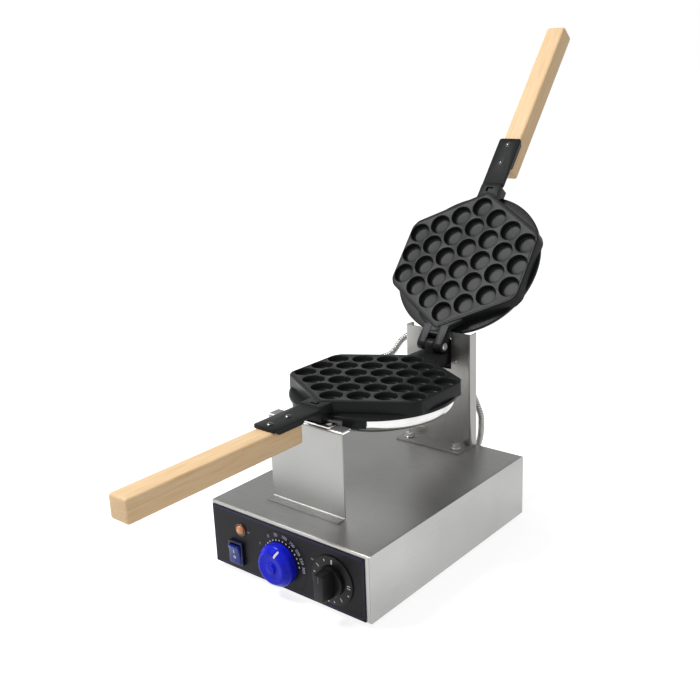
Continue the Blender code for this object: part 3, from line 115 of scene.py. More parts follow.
def worked_out(tree, operation, first, second):
    """One value made from two."""
    node = tree.nodes.new("ShaderNodeMath")
    node.operation = operation
    feed(tree, node.inputs[0], first)
    feed(tree, node.inputs[1], second)
    return node.outputs[0]


def ranged(tree, value, start, end, low, high):
    """A value carried from the range start to end onto the range low to high."""
    node = tree.nodes.new("ShaderNodeMapRange")
    for socket, given in (("Value", value), ("From Min", start), ("From Max", end),
                          ("To Min", low), ("To Max", high)):
        feed(tree, node.inputs[socket], given)
    return node.outputs["Result"]


def seen_directly(tree, share=None):
    """One for the camera's rays and for what mirrors and glass show, else nothing."""
    rays = tree.nodes.new("ShaderNodeLightPath").outputs
    mirrored = worked_out(tree, "MAXIMUM", rays["Is Glossy Ray"], rays["Is Transmission Ray"])
    if share:
        mirrored = worked_out(tree, "MULTIPLY", mirrored, share)
    return worked_out(tree, "MAXIMUM", rays["Is Camera Ray"], mirrored)


def mesh_of(name, form):
    """A shape made a mesh."""
    mesh = bpy.data.meshes.new(name)
    form.to_mesh(mesh)
    form.free()
    return mesh


floor_paper = new_surface("floor_paper", floor_colour, floor_roughness, gloss=floor_gloss)
shader = shader_of(floor_paper)
shader["Emission Color"].default_value = white
tree = floor_paper.node_tree
glow = worked_out(tree, "MULTIPLY", seen_directly(tree), floor_lift)
tree.links.new(glow, shader["Emission Strength"])
form = bmesh.new()
bmesh.ops.create_grid(form, x_segments=1, y_segments=1, size=floor_size / 2)
floor = placed("floor", mesh_of("floor", form))
floor.data.materials.append(floor_paper)

sky = bpy.data.worlds.new("sky")
bpy.context.scene.world = sky
sky.use_nodes = True
tree = sky.node_tree
cloth = tree.nodes["Background"].inputs
heading = tree.nodes.new("ShaderNodeTexCoord").outputs["Generated"]
parts = tree.nodes.new("ShaderNodeSeparateXYZ")
tree.links.new(heading, parts.inputs["Vector"])
low_cloth = ranged(tree, parts.outputs["Z"], low_cloth_end, low_cloth_start, 0.0, 1.0)
lighting = ranged(tree, low_cloth, 0.0, 1.0, high_sky_light, sky_light)
strength = ranged(tree, seen_directly(tree, low_cloth), 0.0, 1.0, lighting, seen_sky_light)
tree.links.new(strength, cloth["Strength"])
cloth["Color"].default_value = white

soft_lamp = placed("soft_lamp", bpy.data.lights.new("soft_lamp", "AREA"))
soft_lamp.data.energy = lamp_power
soft_lamp.data.shape = "DISK"
soft_lamp.data.size = lamp_size
soft_lamp.location = lamp_place
soft_lamp.rotation_euler = (lamp_aim - lamp_place).to_track_quat("-Z", "Y").to_euler()

# Conduits: two flexible hoses of spirally wound steel strip that carry the heater wires. Each
# runs from a fitting on its dish, behind the column, to a fitting in the box's rear wall.
hose_radius, hose_groove, hose_rib = 0.0043, 0.0034, 0.0031
rib_swell = (0.0, 0.85, 1.0, 0.85)
fitting_length, seat_gap = 0.009, 0.0003
merge_gap = 0.00001
crease_angle = radians(35)
noise_low, noise_high = 0.3, 0.7
front_y, base_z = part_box("base_cover")[0].y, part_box("base_cover")[0].z
rear_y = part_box("base_cover")[1].y
hinge_y, hinge_z = front_y + 0.2839, base_z + 0.2128
hinge_place = Vector((0, hinge_y, hinge_z))
open_angle = radians(129.2)
pan_face_z, pan_middle_y = base_z + 0.20435, front_y + 0.16303
dish_depth, upper_axis = 0.036, -0.00795


def grain(surface, scale, stretch=(1, 1, 1), detail=2.0, turn=None):
    """Noise over the piece, finer or coarser along each of its own directions."""
    nodes, links = surface.node_tree.nodes, surface.node_tree.links
    source = nodes.new("ShaderNodeTexCoord").outputs["Object"]
    if turn:
        square = nodes.new("ShaderNodeMapping")
        square.vector_type = "TEXTURE"
        square.inputs["Location"].default_value = turn.translation
        square.inputs["Rotation"].default_value = turn.to_euler()
        links.new(source, square.inputs["Vector"])
        source = square.outputs["Vector"]
    spread = nodes.new("ShaderNodeMapping")
    spread.inputs["Scale"].default_value = [scale * share for share in stretch]
    links.new(source, spread.inputs["Vector"])
    noise = nodes.new("ShaderNodeTexNoise")
    noise.inputs["Scale"].default_value = 1
    noise.inputs["Detail"].default_value = detail
    links.new(spread.outputs["Vector"], noise.inputs["Vector"])
    return noise.outputs["Fac"]


def blend_tones(surface, source, tones, places=(noise_low, noise_high)):
    """Colours along a noise value, into the base colour."""
    tree = surface.node_tree
    ramp = tree.nodes.new("ShaderNodeValToRGB")
    while len(ramp.color_ramp.elements) < len(tones):
        ramp.color_ramp.elements.new(0.5)
    for element, place, colour in zip(ramp.color_ramp.elements, places, tones):
        element.position = place
        element.color = (*colour, 1)
    tree.links.new(source, ramp.inputs["Fac"])
    tree.links.new(ramp.outputs["Color"], shader_of(surface)["Base Color"])


def vary(surface, source, low, high):
    """A noise value spread between two amounts, into the roughness."""
    tree = surface.node_tree
    span = ranged(tree, source, noise_low, noise_high, low, high)
    tree.links.new(span, shader_of(surface)["Roughness"])


def relief(surface, source, height, strength):
    """A noise value as fine relief of the surface."""
    tree = surface.node_tree
    bump = tree.nodes.new("ShaderNodeBump")
    bump.inputs["Distance"].default_value = height
    bump.inputs["Strength"].default_value = strength
    tree.links.new(source, bump.inputs["Height"])
    tree.links.new(bump.outputs["Normal"], shader_of(surface)["Normal"])


def mottled(name, scale, tones, rough, bumps=None, stretch=(1, 1, 1), **plain):
    """A finish whose tone, roughness and relief all follow one noise."""
    made = new_surface(name, tones[0], rough[0], **plain)
    source = grain(made, scale, stretch)
    blend_tones(made, source, tones)
    vary(made, source, *rough)
    if bumps:
        relief(made, source, *bumps)
    return made


def fitted(name, form, surface, finish, body, *nodes):
    """Make a shape into a piece that rides on a body and stands for CAD nodes."""
    mesh = mesh_of(name, form)
    mesh.shade_smooth()
    mesh.set_sharp_from_angle(angle=crease_angle)
    mesh.materials.append(surface)
    made = placed(name, mesh)
    if body:
        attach(made, body)
    if nodes:
        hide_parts(*nodes)
    return made


def smooth_route(start, start_heading, free, end, end_heading, steps=25):
    """Places close together on the curve that leaves both fittings straight."""
    lead = 2 * hose_radius
    first, last = start + start_heading * lead, end + end_heading * lead
    knots = [first] + free + [last]
    before = knots[1] - start_heading * 2 * (knots[1] - first).length
    after = knots[-2] - end_heading * 2 * (knots[-2] - last).length
    knots = [before] + knots + [after]
    places = [start]
    for a, b, c, d in zip(knots, knots[1:], knots[2:], knots[3:]):
        places += interpolate_bezier(b, b + (c - a) / 6, c - (d - b) / 6, c, steps)[:-1]
    return places + [last, end]


def evenly(places, step):
    """Places a step apart along a line of places."""
    total = sum((b - a).length for a, b in zip(places, places[1:]))
    count = ceil(total / step)
    result, walked, index = [places[0]], 0.0, 0
    for k in range(1, count):
        while walked + (places[index + 1] - places[index]).length < total * k / count:
            walked += (places[index + 1] - places[index]).length
            index += 1
        along = (places[index + 1] - places[index]).normalized()
        result.append(places[index] + along * (total * k / count - walked))
    return result + [places[-1]], total


def curve_form(data, gap):
    """A curve or text as a shape, its doubles merged."""
    source = bpy.data.objects.new(data.name, data)
    mesh = bpy.data.meshes.new_from_object(source)
    bpy.data.objects.remove(source)
    form = bmesh.new()
    form.from_mesh(mesh)
    bpy.data.meshes.remove(mesh)
    bmesh.ops.remove_doubles(form, verts=form.verts, dist=gap)
    return form


def ribbed_hose(name, places):
    """A wound hose as a curve whose radius swells at each rib, made a mesh."""
    fine, total = evenly(places, hose_rib / len(rib_swell))
    data = bpy.data.curves.new(name, "CURVE")
    data.dimensions = "3D"
    data.bevel_depth = 1
    data.bevel_resolution = 4
    data.use_fill_caps = True
    spline = data.splines.new("POLY")
    spline.points.add(len(fine) - 1)
    for index, (point, place) in enumerate(zip(spline.points, fine)):
        swell = rib_swell[index % len(rib_swell)]
        point.co = (*place, 1)
        point.radius = hose_groove + (hose_radius - hose_groove) * swell
    form = curve_form(data, merge_gap)
    bmesh.ops.recalc_face_normals(form, faces=form.faces)
    return form, fine, total


hose_steel = mottled("hose_steel", 260, ((0.36, 0.36, 0.35), (0.62, 0.62, 0.60)), (0.28, 0.44),
                     stretch=(1, 1, 0.2), metallic=1.0)

along_lid = Vector((0, -cos(open_angle), sin(open_angle)))
behind_lid = Vector((0, sin(open_angle), cos(open_angle)))
backwards = Vector((0, 1, 0))
clear = fitting_length + seat_gap
foot_side, foot_height = 0.033, 0.052
fitting_reach, fitting_side = 0.0549, 0.014
upper_seat = (Vector((-fitting_side, hinge_y, hinge_z)) + along_lid * fitting_reach
              + behind_lid * (dish_depth + seat_gap + upper_axis))
upper_foot = Vector((foot_side, rear_y + seat_gap, base_z + foot_height))
wall_place = Vector((0, rear_y, base_z + foot_height))
upper_free = [hinge_place + Vector(p) for p in (
    (-0.0130, 0.0751, 0.0002), (-0.0110, 0.0751, -0.0198),
    (-0.0030, 0.0701, -0.0428), (0.0120, 0.0621, -0.0618))]
upper_free += [wall_place + Vector(p) for p in (
    (0.0370, 0.0260, 0.0610), (0.0395, 0.0260, 0.0440),
    (0.0375, 0.0275, 0.0270), (0.0345, 0.0270, 0.0135))]
upper_route = smooth_route(upper_seat + behind_lid * clear, behind_lid, upper_free,
                           upper_foot + backwards * clear, backwards)
form, upper_path, upper_length = ribbed_hose("upper_hose", upper_route)
upper_hose = fitted("upper_hose", form, hose_steel, "hose_steel", None, "upper_conduit")
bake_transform(upper_hose)

lower_angle = radians(40)
dish_reach, fitting_drop = 0.09527, 0.0265
outwards = Vector((-sin(lower_angle), cos(lower_angle), 0))
lower_seat = Vector((0, pan_middle_y, pan_face_z - fitting_drop)) + outwards * dish_reach
lower_foot = Vector((-foot_side, rear_y + seat_gap, base_z + foot_height))
lower_free = [hinge_place + Vector(p) for p in (
    (-0.0840, -0.0179, -0.0348), (-0.0870, 0.0021, -0.0335), (-0.0790, 0.0191, -0.0290),
    (-0.0680, 0.0281, -0.0110), (-0.0560, 0.0351, -0.0030), (-0.0440, 0.0401, -0.0040),
    (-0.0340, 0.0451, -0.0170), (-0.0275, 0.0481, -0.0468))]
lower_free += [wall_place + Vector(p) for p in (
    (-0.0290, 0.0240, 0.0530), (-0.0310, 0.0265, 0.0290), (-0.0325, 0.0265, 0.0135))]
lower_route = smooth_route(lower_seat + outwards * clear, outwards, lower_free,
                           lower_foot + backwards * clear, backwards)
form, lower_path, lower_length = ribbed_hose("lower_hose", lower_route)
lower_hose = fitted("lower_hose", form, hose_steel, "hose_steel", "base", "lower_conduit")
print("hoses", round(upper_length, 4), round(lower_length, 4))

# Hose fittings: turned from bright steel, each with a flange seated on the sheet, a hexagon for
# the spanner and a sleeve that grips the hose.
fitting_nut, fitting_nut_low, fitting_nut_high = 0.0128, 0.0014, 0.0050
fitting_steel = mottled("fitting_steel", 900, ((0.58, 0.58, 0.57), (0.76, 0.76, 0.75)),
                        (0.16, 0.30), metallic=1.0)


def moved(form, place):
    """A shape turned and shifted to its place."""
    bmesh.ops.transform(form, matrix=place, verts=form.verts)
    return form


def turned(profile, steps=48, place=None):
    """A turned solid: a line of (radius, height) spun about Z, closed at the axis or on itself."""
    form = bmesh.new()
    line = [form.verts.new((radius, 0, height)) for radius, height in profile]
    pairs = list(zip(line, line[1:]))
    if profile[0][0] > 0:
        pairs.append((line[-1], line[0]))
    edges = [form.edges.new(pair) for pair in pairs]
    bmesh.ops.spin(form, geom=line + edges, cent=(0, 0, 0), axis=(0, 0, 1), angle=2 * pi,
                   steps=steps, use_merge=True)
    bmesh.ops.remove_doubles(form, verts=form.verts, dist=merge_gap)
    bmesh.ops.recalc_face_normals(form, faces=form.faces)
    return moved(form, place) if place else form


def rounding(centre, radius, start, end, steps=4):
    """Points of a quarter round or other arc, in degrees."""
    turns = [radians(start + (end - start) * i / steps) for i in range(steps + 1)]
    return [(centre[0] + radius * cos(turn), centre[1] + radius * sin(turn)) for turn in turns]


def joined(forms):
    """Several shapes as one, each a body of its own."""
    whole = bmesh.new()
    for form in forms:
        mesh = mesh_of("joined", form)
        whole.from_mesh(mesh)
        bpy.data.meshes.remove(mesh)
    return whole


def ease(form, width, segments=2, low=None, sharp=radians(30)):
    """Round the sharp edges of a shape, or only those above a height."""
    edges = [edge for edge in form.edges if edge.calc_face_angle(0) > sharp
             and (low is None or min(corner.co.z for corner in edge.verts) > low)]
    bmesh.ops.bevel(form, geom=edges, offset=width, segments=segments, profile=0.5,
                    affect="EDGES", material=-1, clamp_overlap=True)


def slab(outline, axis, low, high, edge=0.0, segments=2):
    """A solid with that outline, extruded along X, Y or Z, its edges eased."""
    form = bmesh.new()
    face = form.faces.new([form.verts.new((u, v, low)) for u, v in outline])
    grown = bmesh.ops.extrude_face_region(form, geom=[face])["geom"]
    top = [part for part in grown if isinstance(part, bmesh.types.BMVert)]
    bmesh.ops.translate(form, vec=(0, 0, high - low), verts=top)
    turns = {"X": ((0, 0, 1), (1, 0, 0), (0, 1, 0)), "Y": ((1, 0, 0), (0, 0, 1), (0, 1, 0)),
             "Z": ((1, 0, 0), (0, 1, 0), (0, 0, 1))}
    moved(form, Matrix(turns[axis]).to_4x4())
    bmesh.ops.recalc_face_normals(form, faces=form.faces)
    if edge:
        ease(form, edge, segments)
    return form


def oval(width, height, x=0.0, z=0.0, count=20):
    """Points round an oval or a circle."""
    return [(x + width / 2 * cos(i * 2 * pi / count), z + height / 2 * sin(i * 2 * pi / count))
            for i in range(count)]


def hexagon(width):
    """Corners of a hexagon of that width across its flats."""
    return oval(2 * width / sqrt(3), 2 * width / sqrt(3), count=6)


def facing(place, heading):
    """The turn and shift that stand a turned solid on a place, its axis along a heading."""
    return Matrix.Translation(place) @ heading.to_track_quat("Z", "Y").to_matrix().to_4x4()


for name, seat, heading, body, node in (
        ("upper_hose_pan_fitting", upper_seat, behind_lid, "lid", "upper_pan_gland"),
        ("upper_hose_box_fitting", upper_foot, backwards, "base", "upper_box_gland"),
        ("lower_hose_pan_fitting", lower_seat, outwards, "base", "lower_pan_gland"),
        ("lower_hose_box_fitting", lower_foot, backwards, "base", "lower_box_gland")):
    sleeve = turned([(0.0045, -0.004), (0.0040, 0), (0.0085, 0), (0.0085, 0.0011),
                     (0.0081, 0.0015), (0.0064, 0.0015), (0.0064, 0.0070), (0.0062, 0.0074),
                     (0.0065, 0.0077), (0.0065, 0.0086), (0.0061, fitting_length),
                     (0.0046, fitting_length), (0.0045, 0.005)], 32)
    nut = slab(hexagon(fitting_nut), "Z", fitting_nut_low, fitting_nut_high, 0.0004)
    form = moved(joined([sleeve, nut]), facing(seat, heading))
    fitted(name, form, fitting_steel, "fastener_steel", body, node)

# Base box: a cover folded from one stainless sheet over the front, top and rear, two flat side
# panels and a bottom plate with vent slots, all with a fine brushed finish.
brush_scale, patch_scale, patch_share = 1500, 9, 0.55
brush_length = 0.02
sheet_tones = ((0.40, 0.40, 0.395), (0.50, 0.50, 0.49))


def brushed_steel(name, stretch, tones=sheet_tones, rough=(0.27, 0.40)):
    """Stainless sheet brushed along one direction, with soft uneven patches."""
    made = new_surface(name, tones[0], rough[0], 1.0)
    lines = grain(made, brush_scale, stretch, 3.0)
    patches = grain(made, patch_scale)
    tree = made.node_tree
    mix = tree.nodes.new("ShaderNodeMix")
    mix.inputs["Factor"].default_value = patch_share
    tree.links.new(lines, mix.inputs[2])
    tree.links.new(patches, mix.inputs[3])
    blend_tones(made, mix.outputs[0], tones)
    vary(made, lines, *rough)
    relief(made, lines, 0.00002, 0.25)
    return made


def dress(surface, *names):
    """Give kept CAD nodes their material."""
    for name in names:
        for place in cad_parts[name].material_slots:
            place.link = "OBJECT"
            place.material = surface


cover_steel = brushed_steel("cover_steel", (brush_length, 1, 1))
side_steel = brushed_steel("side_steel", (1, brush_length, 1))
dress(cover_steel, "base_cover", "bottom_plate")
dress(side_steel, "side_panel_left", "side_panel_right")

# Feet: four moulded rubber feet, one under each corner of the box. Each is pushed up through a
# hole in the bottom plate until its barb springs out above the sheet.
sole_radius, shoulder_radius, barb_neck, barb_radius = 0.0088, 0.0109, 0.0030, 0.0044
barb_low, barb_high = 0.0014, 0.0042
foot_rubber = mottled("foot_rubber", 700, ((0.018, 0.018, 0.019), (0.036, 0.036, 0.037)),
                      (0.68, 0.85), (0.0001, 0.4))
for number in (1, 2, 3, 4):
    low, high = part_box("foot_%d" % number)
    middle = (low + high) / 2
    height = base_z - low.z
    profile = [(0, 0.0006), (0.0030, 0.0006), (0.0036, 0), (sole_radius, 0)]
    profile += rounding((sole_radius, 0.0008), 0.0008, -90, -10)
    profile += [(shoulder_radius, height - 0.0010), (shoulder_radius - 0.0005, height - 0.0004),
                (barb_neck, height - 0.0004), (barb_neck, height + barb_low),
                (barb_radius, height + barb_low), (0.0018, height + barb_high),
                (0, height + barb_high)]
    form = turned(profile, 40, Matrix.Translation((middle.x, middle.y, low.z)))
    fitted("rubber_foot_%d" % number, form, foot_rubber, "rubber", "base", "foot_%d" % number)

# Control panel: a satin black plate behind the knobs. Its scale, marks and dark violet border
# are printed on it. A near-black arc beside the scale is painted shade.
panel_black = mottled("panel_black", 1800, ((0.010, 0.010, 0.012), (0.015, 0.015, 0.018)),
                      (0.36, 0.46), (0.00003, 0.2), gloss=0.15)
dress(panel_black, "control_panel")

panel_low, panel_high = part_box("control_panel")
face_y = panel_low.y
mark_depth, tone_low_factor, tone_high_factor = 0.00006, 0.8, 1.15
scale_x, scale_z = -0.0082, base_z + 0.031
dot_count, first_dot, dot_step, dot_ring, dot_width = 14, -58, 10.9, 0.0270, 0.0018
figure_ring, figure_height = 0.0330, 0.0054
scale_words = ((-34, "0"), (-12, "50"), (11, "100"), (32, "150"), (51, "200"), (69, "250"),
               (87, "300"))
arc_angles, arc_inner, arc_outer = range(-30, 131, 5), 0.0362, 0.0384
border_inset, border_height, border_width = 0.0014, 0.0019, 0.0009


def flat_mark(outline, ground=face_y, depth=mark_depth):
    """A thin shape, given by its X and Z corners, lying on the panel: print, and the painted shade
    arc.
    """
    return slab(outline, "Y", ground - depth, ground + depth / 2)


def clock_place(x, z, angle, radius):
    """The place at a clock angle and radius round a centre."""
    return x + radius * sin(radians(angle)), z + radius * cos(radians(angle))


def spot(x, z, width, height):
    """A small round or oval mark."""
    return flat_mark(oval(width, height, x, z))


def numeral(words, x, z, angle):
    """Printed figures, upright at clock angle zero and turned with the scale."""
    data = bpy.data.curves.new("figures", "FONT")
    data.body = words
    data.size = figure_height
    data.extrude = mark_depth
    data.align_x = data.align_y = "CENTER"
    place = (Matrix.Translation((x, face_y, z)) @ Matrix.Rotation(pi / 2, 4, "X")
             @ Matrix.Rotation(radians(-angle), 4, "Z"))
    return moved(curve_form(data, merge_gap / 10), place)


def flat_colour(name, colour):
    """A flat colour, a little uneven in tone and gloss, for print and for painted highlights and
    shade.
    """
    tones = [part * tone_low_factor for part in colour], [part * tone_high_factor for part in colour]
    return mottled(name, 1600, tones, (0.42, 0.6), gloss=0.2)


white_ink_and_highlight = flat_colour("white_ink_and_highlight", (0.80, 0.80, 0.78))
figure_ink = flat_colour("figure_ink", (0.50, 0.50, 0.50))
grey_ink_and_highlight = flat_colour("grey_ink_and_highlight", (0.17, 0.17, 0.18))
violet_ink = flat_colour("violet_ink", (0.030, 0.020, 0.080))
painted_shade_black = flat_colour("painted_shade_black", (0.003, 0.003, 0.003))

dots = [spot(*clock_place(scale_x, scale_z, first_dot + dot_step * i, dot_ring), dot_width,
             dot_width) for i in range(dot_count)]
fitted("scale_dots", joined(dots), white_ink_and_highlight, "panel_plastic", "base")
figures = [numeral(words, *clock_place(scale_x, scale_z, angle, figure_ring), angle)
           for angle, words in scale_words]
fitted("scale_figures", joined(figures), figure_ink, "panel_plastic", "base")
bars = [spot(-0.0583, base_z + 0.0528, 0.0042, 0.0022),
        spot(-0.0403, base_z + 0.0455, 0.0018, 0.0036),
        spot(0.0387, base_z + 0.0512, 0.0046, 0.0028)]
fitted("panel_bars", joined(bars), grey_ink_and_highlight, "panel_plastic", "base")
# Painted shade: a near-black arc just outside the scale figures, darker than the panel.
shade_arc = [clock_place(scale_x, scale_z, angle, arc_outer) for angle in arc_angles]
shade_arc += [clock_place(scale_x, scale_z, angle, arc_inner) for angle in reversed(arc_angles)]
fitted("painted_shade_arc", flat_mark(shade_arc), painted_shade_black, "panel_plastic", "base")
left, right = panel_low.x + border_inset, panel_high.x - border_inset
low, high = panel_low.z + border_inset, panel_high.z - border_inset
border = [flat_mark([(x0, z0), (x1, z0), (x1, z1), (x0, z1)], face_y, mark_depth / 2)
          for x0, z0, x1, z1 in ((left, high - border_height, right, high),
                                 (left, low, right, low + border_height),
                                 (left, low, left + border_width, high),
                                 (right - border_width, low, right, high))]
fitted("panel_border", joined(border), violet_ink, "panel_plastic", "base")

# Pilot lamp: a domed amber lens pushed into a dark red ring, both moulded from clear plastic. The
# ring's collar rests on the panel.
lamp_x, lamp_z = -0.070, base_z + 0.053
ring_radius, ring_bore = 0.0078, 0.0059
lens_radius, lens_rise, lens_base = 0.0056, 0.0032, 0.0012
bezel_red = mottled("bezel_red", 500, ((0.075, 0.010, 0.006), (0.14, 0.022, 0.012)), (0.24, 0.36),
                    coat=0.5)
lens_amber = mottled("lens_amber", 420, ((0.58, 0.19, 0.05), (0.74, 0.32, 0.11)), (0.18, 0.30),
                     coat=0.6)
shader_of(lens_amber)["Subsurface Weight"].default_value = 0.25
shader_of(lens_amber)["Subsurface Scale"].default_value = 0.002


def lying(x, y, z, side=1):
    """The place of a turned solid whose top points to the front, or with -1 to the rear."""
    return Matrix.Translation((x, y, z)) @ Matrix.Rotation(side * pi / 2, 4, "X")


lamp_seat = lying(lamp_x, face_y - 0.0002, lamp_z)
profile = [(ring_bore, 0), (ring_radius, 0)]
profile += rounding((ring_radius - 0.0006, 0.0009), 0.0006, 0, 90)
profile += [(ring_bore + 0.0002, 0.0013), (ring_bore, 0.0011)]
fitted("lamp_ring", turned(profile, 48, lamp_seat), bezel_red, "red_bezel", "base", "lamp_bezel")
dome = [(lens_radius * cos(radians(a)), lens_base + lens_rise * sin(radians(a)))
        for a in range(0, 90, 15)]
profile = [(0, -0.012), (0.0050, -0.012), (lens_radius, -0.0112)] + dome
profile += [(0, lens_base + lens_rise)]
fitted("lamp_dome", turned(profile, 48, lamp_seat), lens_amber, "amber_lens", "base", "lamp_lens")

# Rocker switch: a dark blue housing clipped into the panel and a clear blue rocker that tips on
# two pins inside it. Its strokes are printed white.
housing_blue = mottled("housing_blue", 260, ((0.005, 0.006, 0.030), (0.010, 0.012, 0.060)),
                       (0.20, 0.32), gloss=0.35)
rocker_blue = mottled("rocker_blue", 220, ((0.008, 0.020, 0.21), (0.013, 0.036, 0.32)),
                      (0.14, 0.24), gloss=0.3)
switch_low, switch_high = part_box("switch_housing")
switch_x, switch_z = (switch_low.x + switch_high.x) / 2, (switch_low.z + switch_high.z) / 2
switch_width, switch_height = switch_high.x - switch_low.x, switch_high.z - switch_low.z
switch_rim, side_play, end_play = 0.0023, 0.0004, 0.0008
pocket_depth = 0.010
rocker_lean = radians(8)
rocker_face, rocker_hollow, rocker_back = 0.0040, 0.0012, 0.003
mark_reach = 0.0038


def carve(form, tool, how="DIFFERENCE"):
    """One shape cut by another, or grown together with it."""
    pair = [placed("carving", mesh_of("carving", part)) for part in (form, tool)]
    step = pair[0].modifiers.new("step", "BOOLEAN")
    step.operation = how
    step.object = pair[1]
    step.solver = "EXACT"
    bpy.context.view_layer.update()
    graph = bpy.context.evaluated_depsgraph_get()
    result = bmesh.new()
    result.from_mesh(pair[0].evaluated_get(graph).to_mesh())
    for part in pair:
        mesh = part.data
        bpy.data.objects.remove(part)
        bpy.data.meshes.remove(mesh)
    return result


def grown(forms):
    """Several shapes grown together into one solid."""
    whole = forms[0]
    for form in forms[1:]:
        whole = carve(whole, form, "UNION")
    return whole


def rectangle(width, height, x=0.0, z=0.0):
    """Corners of a rectangle round a middle."""
    return [(x - width / 2, z - height / 2), (x + width / 2, z - height / 2),
            (x + width / 2, z + height / 2), (x - width / 2, z + height / 2)]


def eased(outline, radius, steps=4):
    """The outline with its corners rounded."""
    form = bmesh.new()
    form.faces.new([form.verts.new((u, v, 0)) for u, v in outline])
    bmesh.ops.bevel(form, geom=form.verts[:], offset=radius, segments=steps, profile=0.5,
                    affect="VERTICES", material=-1)
    form.faces.ensure_lookup_table()
    result = [(loop.vert.co.x, loop.vert.co.y) for loop in form.faces[0].loops]
    form.free()
    return result


def switch_outline(margin):
    """The switch's face, drawn in by a margin."""
    return rectangle(switch_width - margin, switch_height - margin, switch_x, switch_z)


flange = slab(eased(switch_outline(0), 0.0016), "Y", switch_low.y, face_y - seat_gap, 0.0007)
neck = slab(switch_outline(switch_rim + 0.0006), "Y", face_y - 0.0012, switch_high.y)
pocket = slab(eased(switch_outline(2 * switch_rim), 0.0008), "Y", switch_low.y - 0.002,
              switch_low.y + pocket_depth)
fitted("switch_frame", carve(grown([flange, neck]), pocket), housing_blue, "blue_switch_plastic",
       "base", "switch_housing")
rocker_tilt = (Matrix.Translation((switch_x, switch_low.y + 0.0023, switch_z))
               @ Matrix.Rotation(rocker_lean, 4, "X"))
half_width = switch_width / 2 - switch_rim - side_play
half_height = switch_height / 2 - switch_rim - end_play
outline = [(-rocker_face - rocker_hollow * (abs(step) / 4) ** 2, half_height * step / 4)
           for step in range(-4, 5)]
outline += [(rocker_back, half_height - 0.003), (rocker_back, 0.003 - half_height)]
form = moved(slab(outline, "X", -half_width, half_width, 0.0009, 3), rocker_tilt)
fitted("rocker", form, rocker_blue, "blue_switch_plastic", "switch_rocker", "switch_rocker")
stroke = slab(rectangle(0.0014, 0.0040, 0, 0.0040), "Y", -0.00440, -0.0036)
ring = turned([(0.0009, -0.0002), (0.0019, -0.0002), (0.0019, 0.00045), (0.0009, 0.00045)], 24,
              lying(0, -0.0041, -mark_reach))
fitted("rocker_marks", moved(joined([stroke, ring]), rocker_tilt), white_ink_and_highlight,
       "blue_switch_plastic", "switch_rocker")

# Thermostat: a glossy blue moulded knob with a thin skirt, round shoulders, a shallow face and a
# low cap at its middle, pushed onto the spindle of the unit behind the panel. A thin white strip
# laid on its shoulder at the upper left is a painted highlight.
knob_x, knob_z = -0.009, base_z + 0.031
knob_turned, highlight_turned = radians(-10), radians(-12)
spindle_hole, knob_bore = 0.0033, 0.0113
cap_top, highlight_rise = 0.0180, 0.0002
knob_blue = mottled("knob_blue", 90, ((0.008, 0.013, 0.60), (0.014, 0.022, 0.72)), (0.16, 0.26),
                    gloss=0.12)
knob_place = (lying(knob_x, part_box("thermostat_knob")[1].y, knob_z)
              @ Matrix.Rotation(knob_turned, 4, "Z"))
outside = rounding((0.0235, 0.0012), 0.0012, -80, -5)
outside += rounding((0.0190, 0.0070), 0.0058, 0, 58, 8)
outside += rounding((0.0166, 0.0122), 0.0046, 46, 100, 6)
outside += [(0.0120, 0.0160), (0.0085, 0.0156), (0.0066, 0.0158), (0.0062, 0.0172)]
outside += rounding((0.0054, 0.0172), 0.0008, 0, 90, 3)
profile = [(0, knob_bore), (spindle_hole, knob_bore), (spindle_hole, 0), (0.0232, 0)] + outside
form = turned(profile + [(0, cap_top)], 72, knob_place)
fitted("blue_knob", form, knob_blue, "blue_knob_plastic", "thermostat_knob", "thermostat_knob")
# Painted highlight: a thin white strip laid over the knob's shoulder at the upper left.
proud = [(radius + highlight_rise, height + highlight_rise) for radius, height in outside]
highlight_strip = slab(eased(rectangle(0.0026, 0.0068, 0, 0.0196), 0.0012), "Z", 0.0060, 0.0190)
proud = turned([(0, 0), (proud[0][0], 0)] + proud + [(0, cap_top + highlight_rise)], 96)
knob_highlight = moved(carve(proud, highlight_strip, "INTERSECT"),
                knob_place @ Matrix.Rotation(highlight_turned, 4, "Z"))
fitted("blue_knob_painted_highlight", knob_highlight, white_ink_and_highlight, "blue_knob_plastic", "thermostat_knob")

# Timer: a black disc with printed marks, fixed to the panel, and a black bar knob that points over
# it. A grey line along the bar's face is a painted highlight.
knob_black = mottled("knob_black", 1300, ((0.008, 0.008, 0.008), (0.013, 0.013, 0.013)),
                     (0.28, 0.42), (0.00003, 0.25), gloss=0.2)
timer_x, timer_z = 0.0665, base_z + 0.0355
dial_low, dial_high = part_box("timer_dial")
dial_radius, dial_bore, dial_thick = (dial_high.x - dial_low.x) / 2, 0.0055, 0.0015
bar_width, bar_length, bar_foot, bar_top, bar_draft = 0.0130, 0.0310, 0.0022, 0.0210, 0.08
profile = [(dial_bore, 0), (dial_radius - 0.0003, 0), (dial_radius, 0.0004)]
profile += rounding((dial_radius - 0.0006, dial_thick - 0.0006), 0.0006, 0, 90, 3)
form = turned(profile + [(dial_bore, dial_thick)], 96, lying(timer_x, dial_high.y, timer_z))
fitted("timer_disc", form, knob_black, "black_plastic", "base", "timer_dial")


def mark(angle, inner, outer, width):
    """A straight tick on the disc, from one radius to another, that points at its centre."""
    across_x, across_z = cos(radians(angle)) * width / 2, -sin(radians(angle)) * width / 2
    ax, az = clock_place(timer_x, timer_z, angle, inner)
    bx, bz = clock_place(timer_x, timer_z, angle, outer)
    return flat_mark([(ax - across_x, az - across_z), (bx - across_x, bz - across_z),
                    (bx + across_x, bz + across_z), (ax + across_x, az + across_z)], dial_low.y)


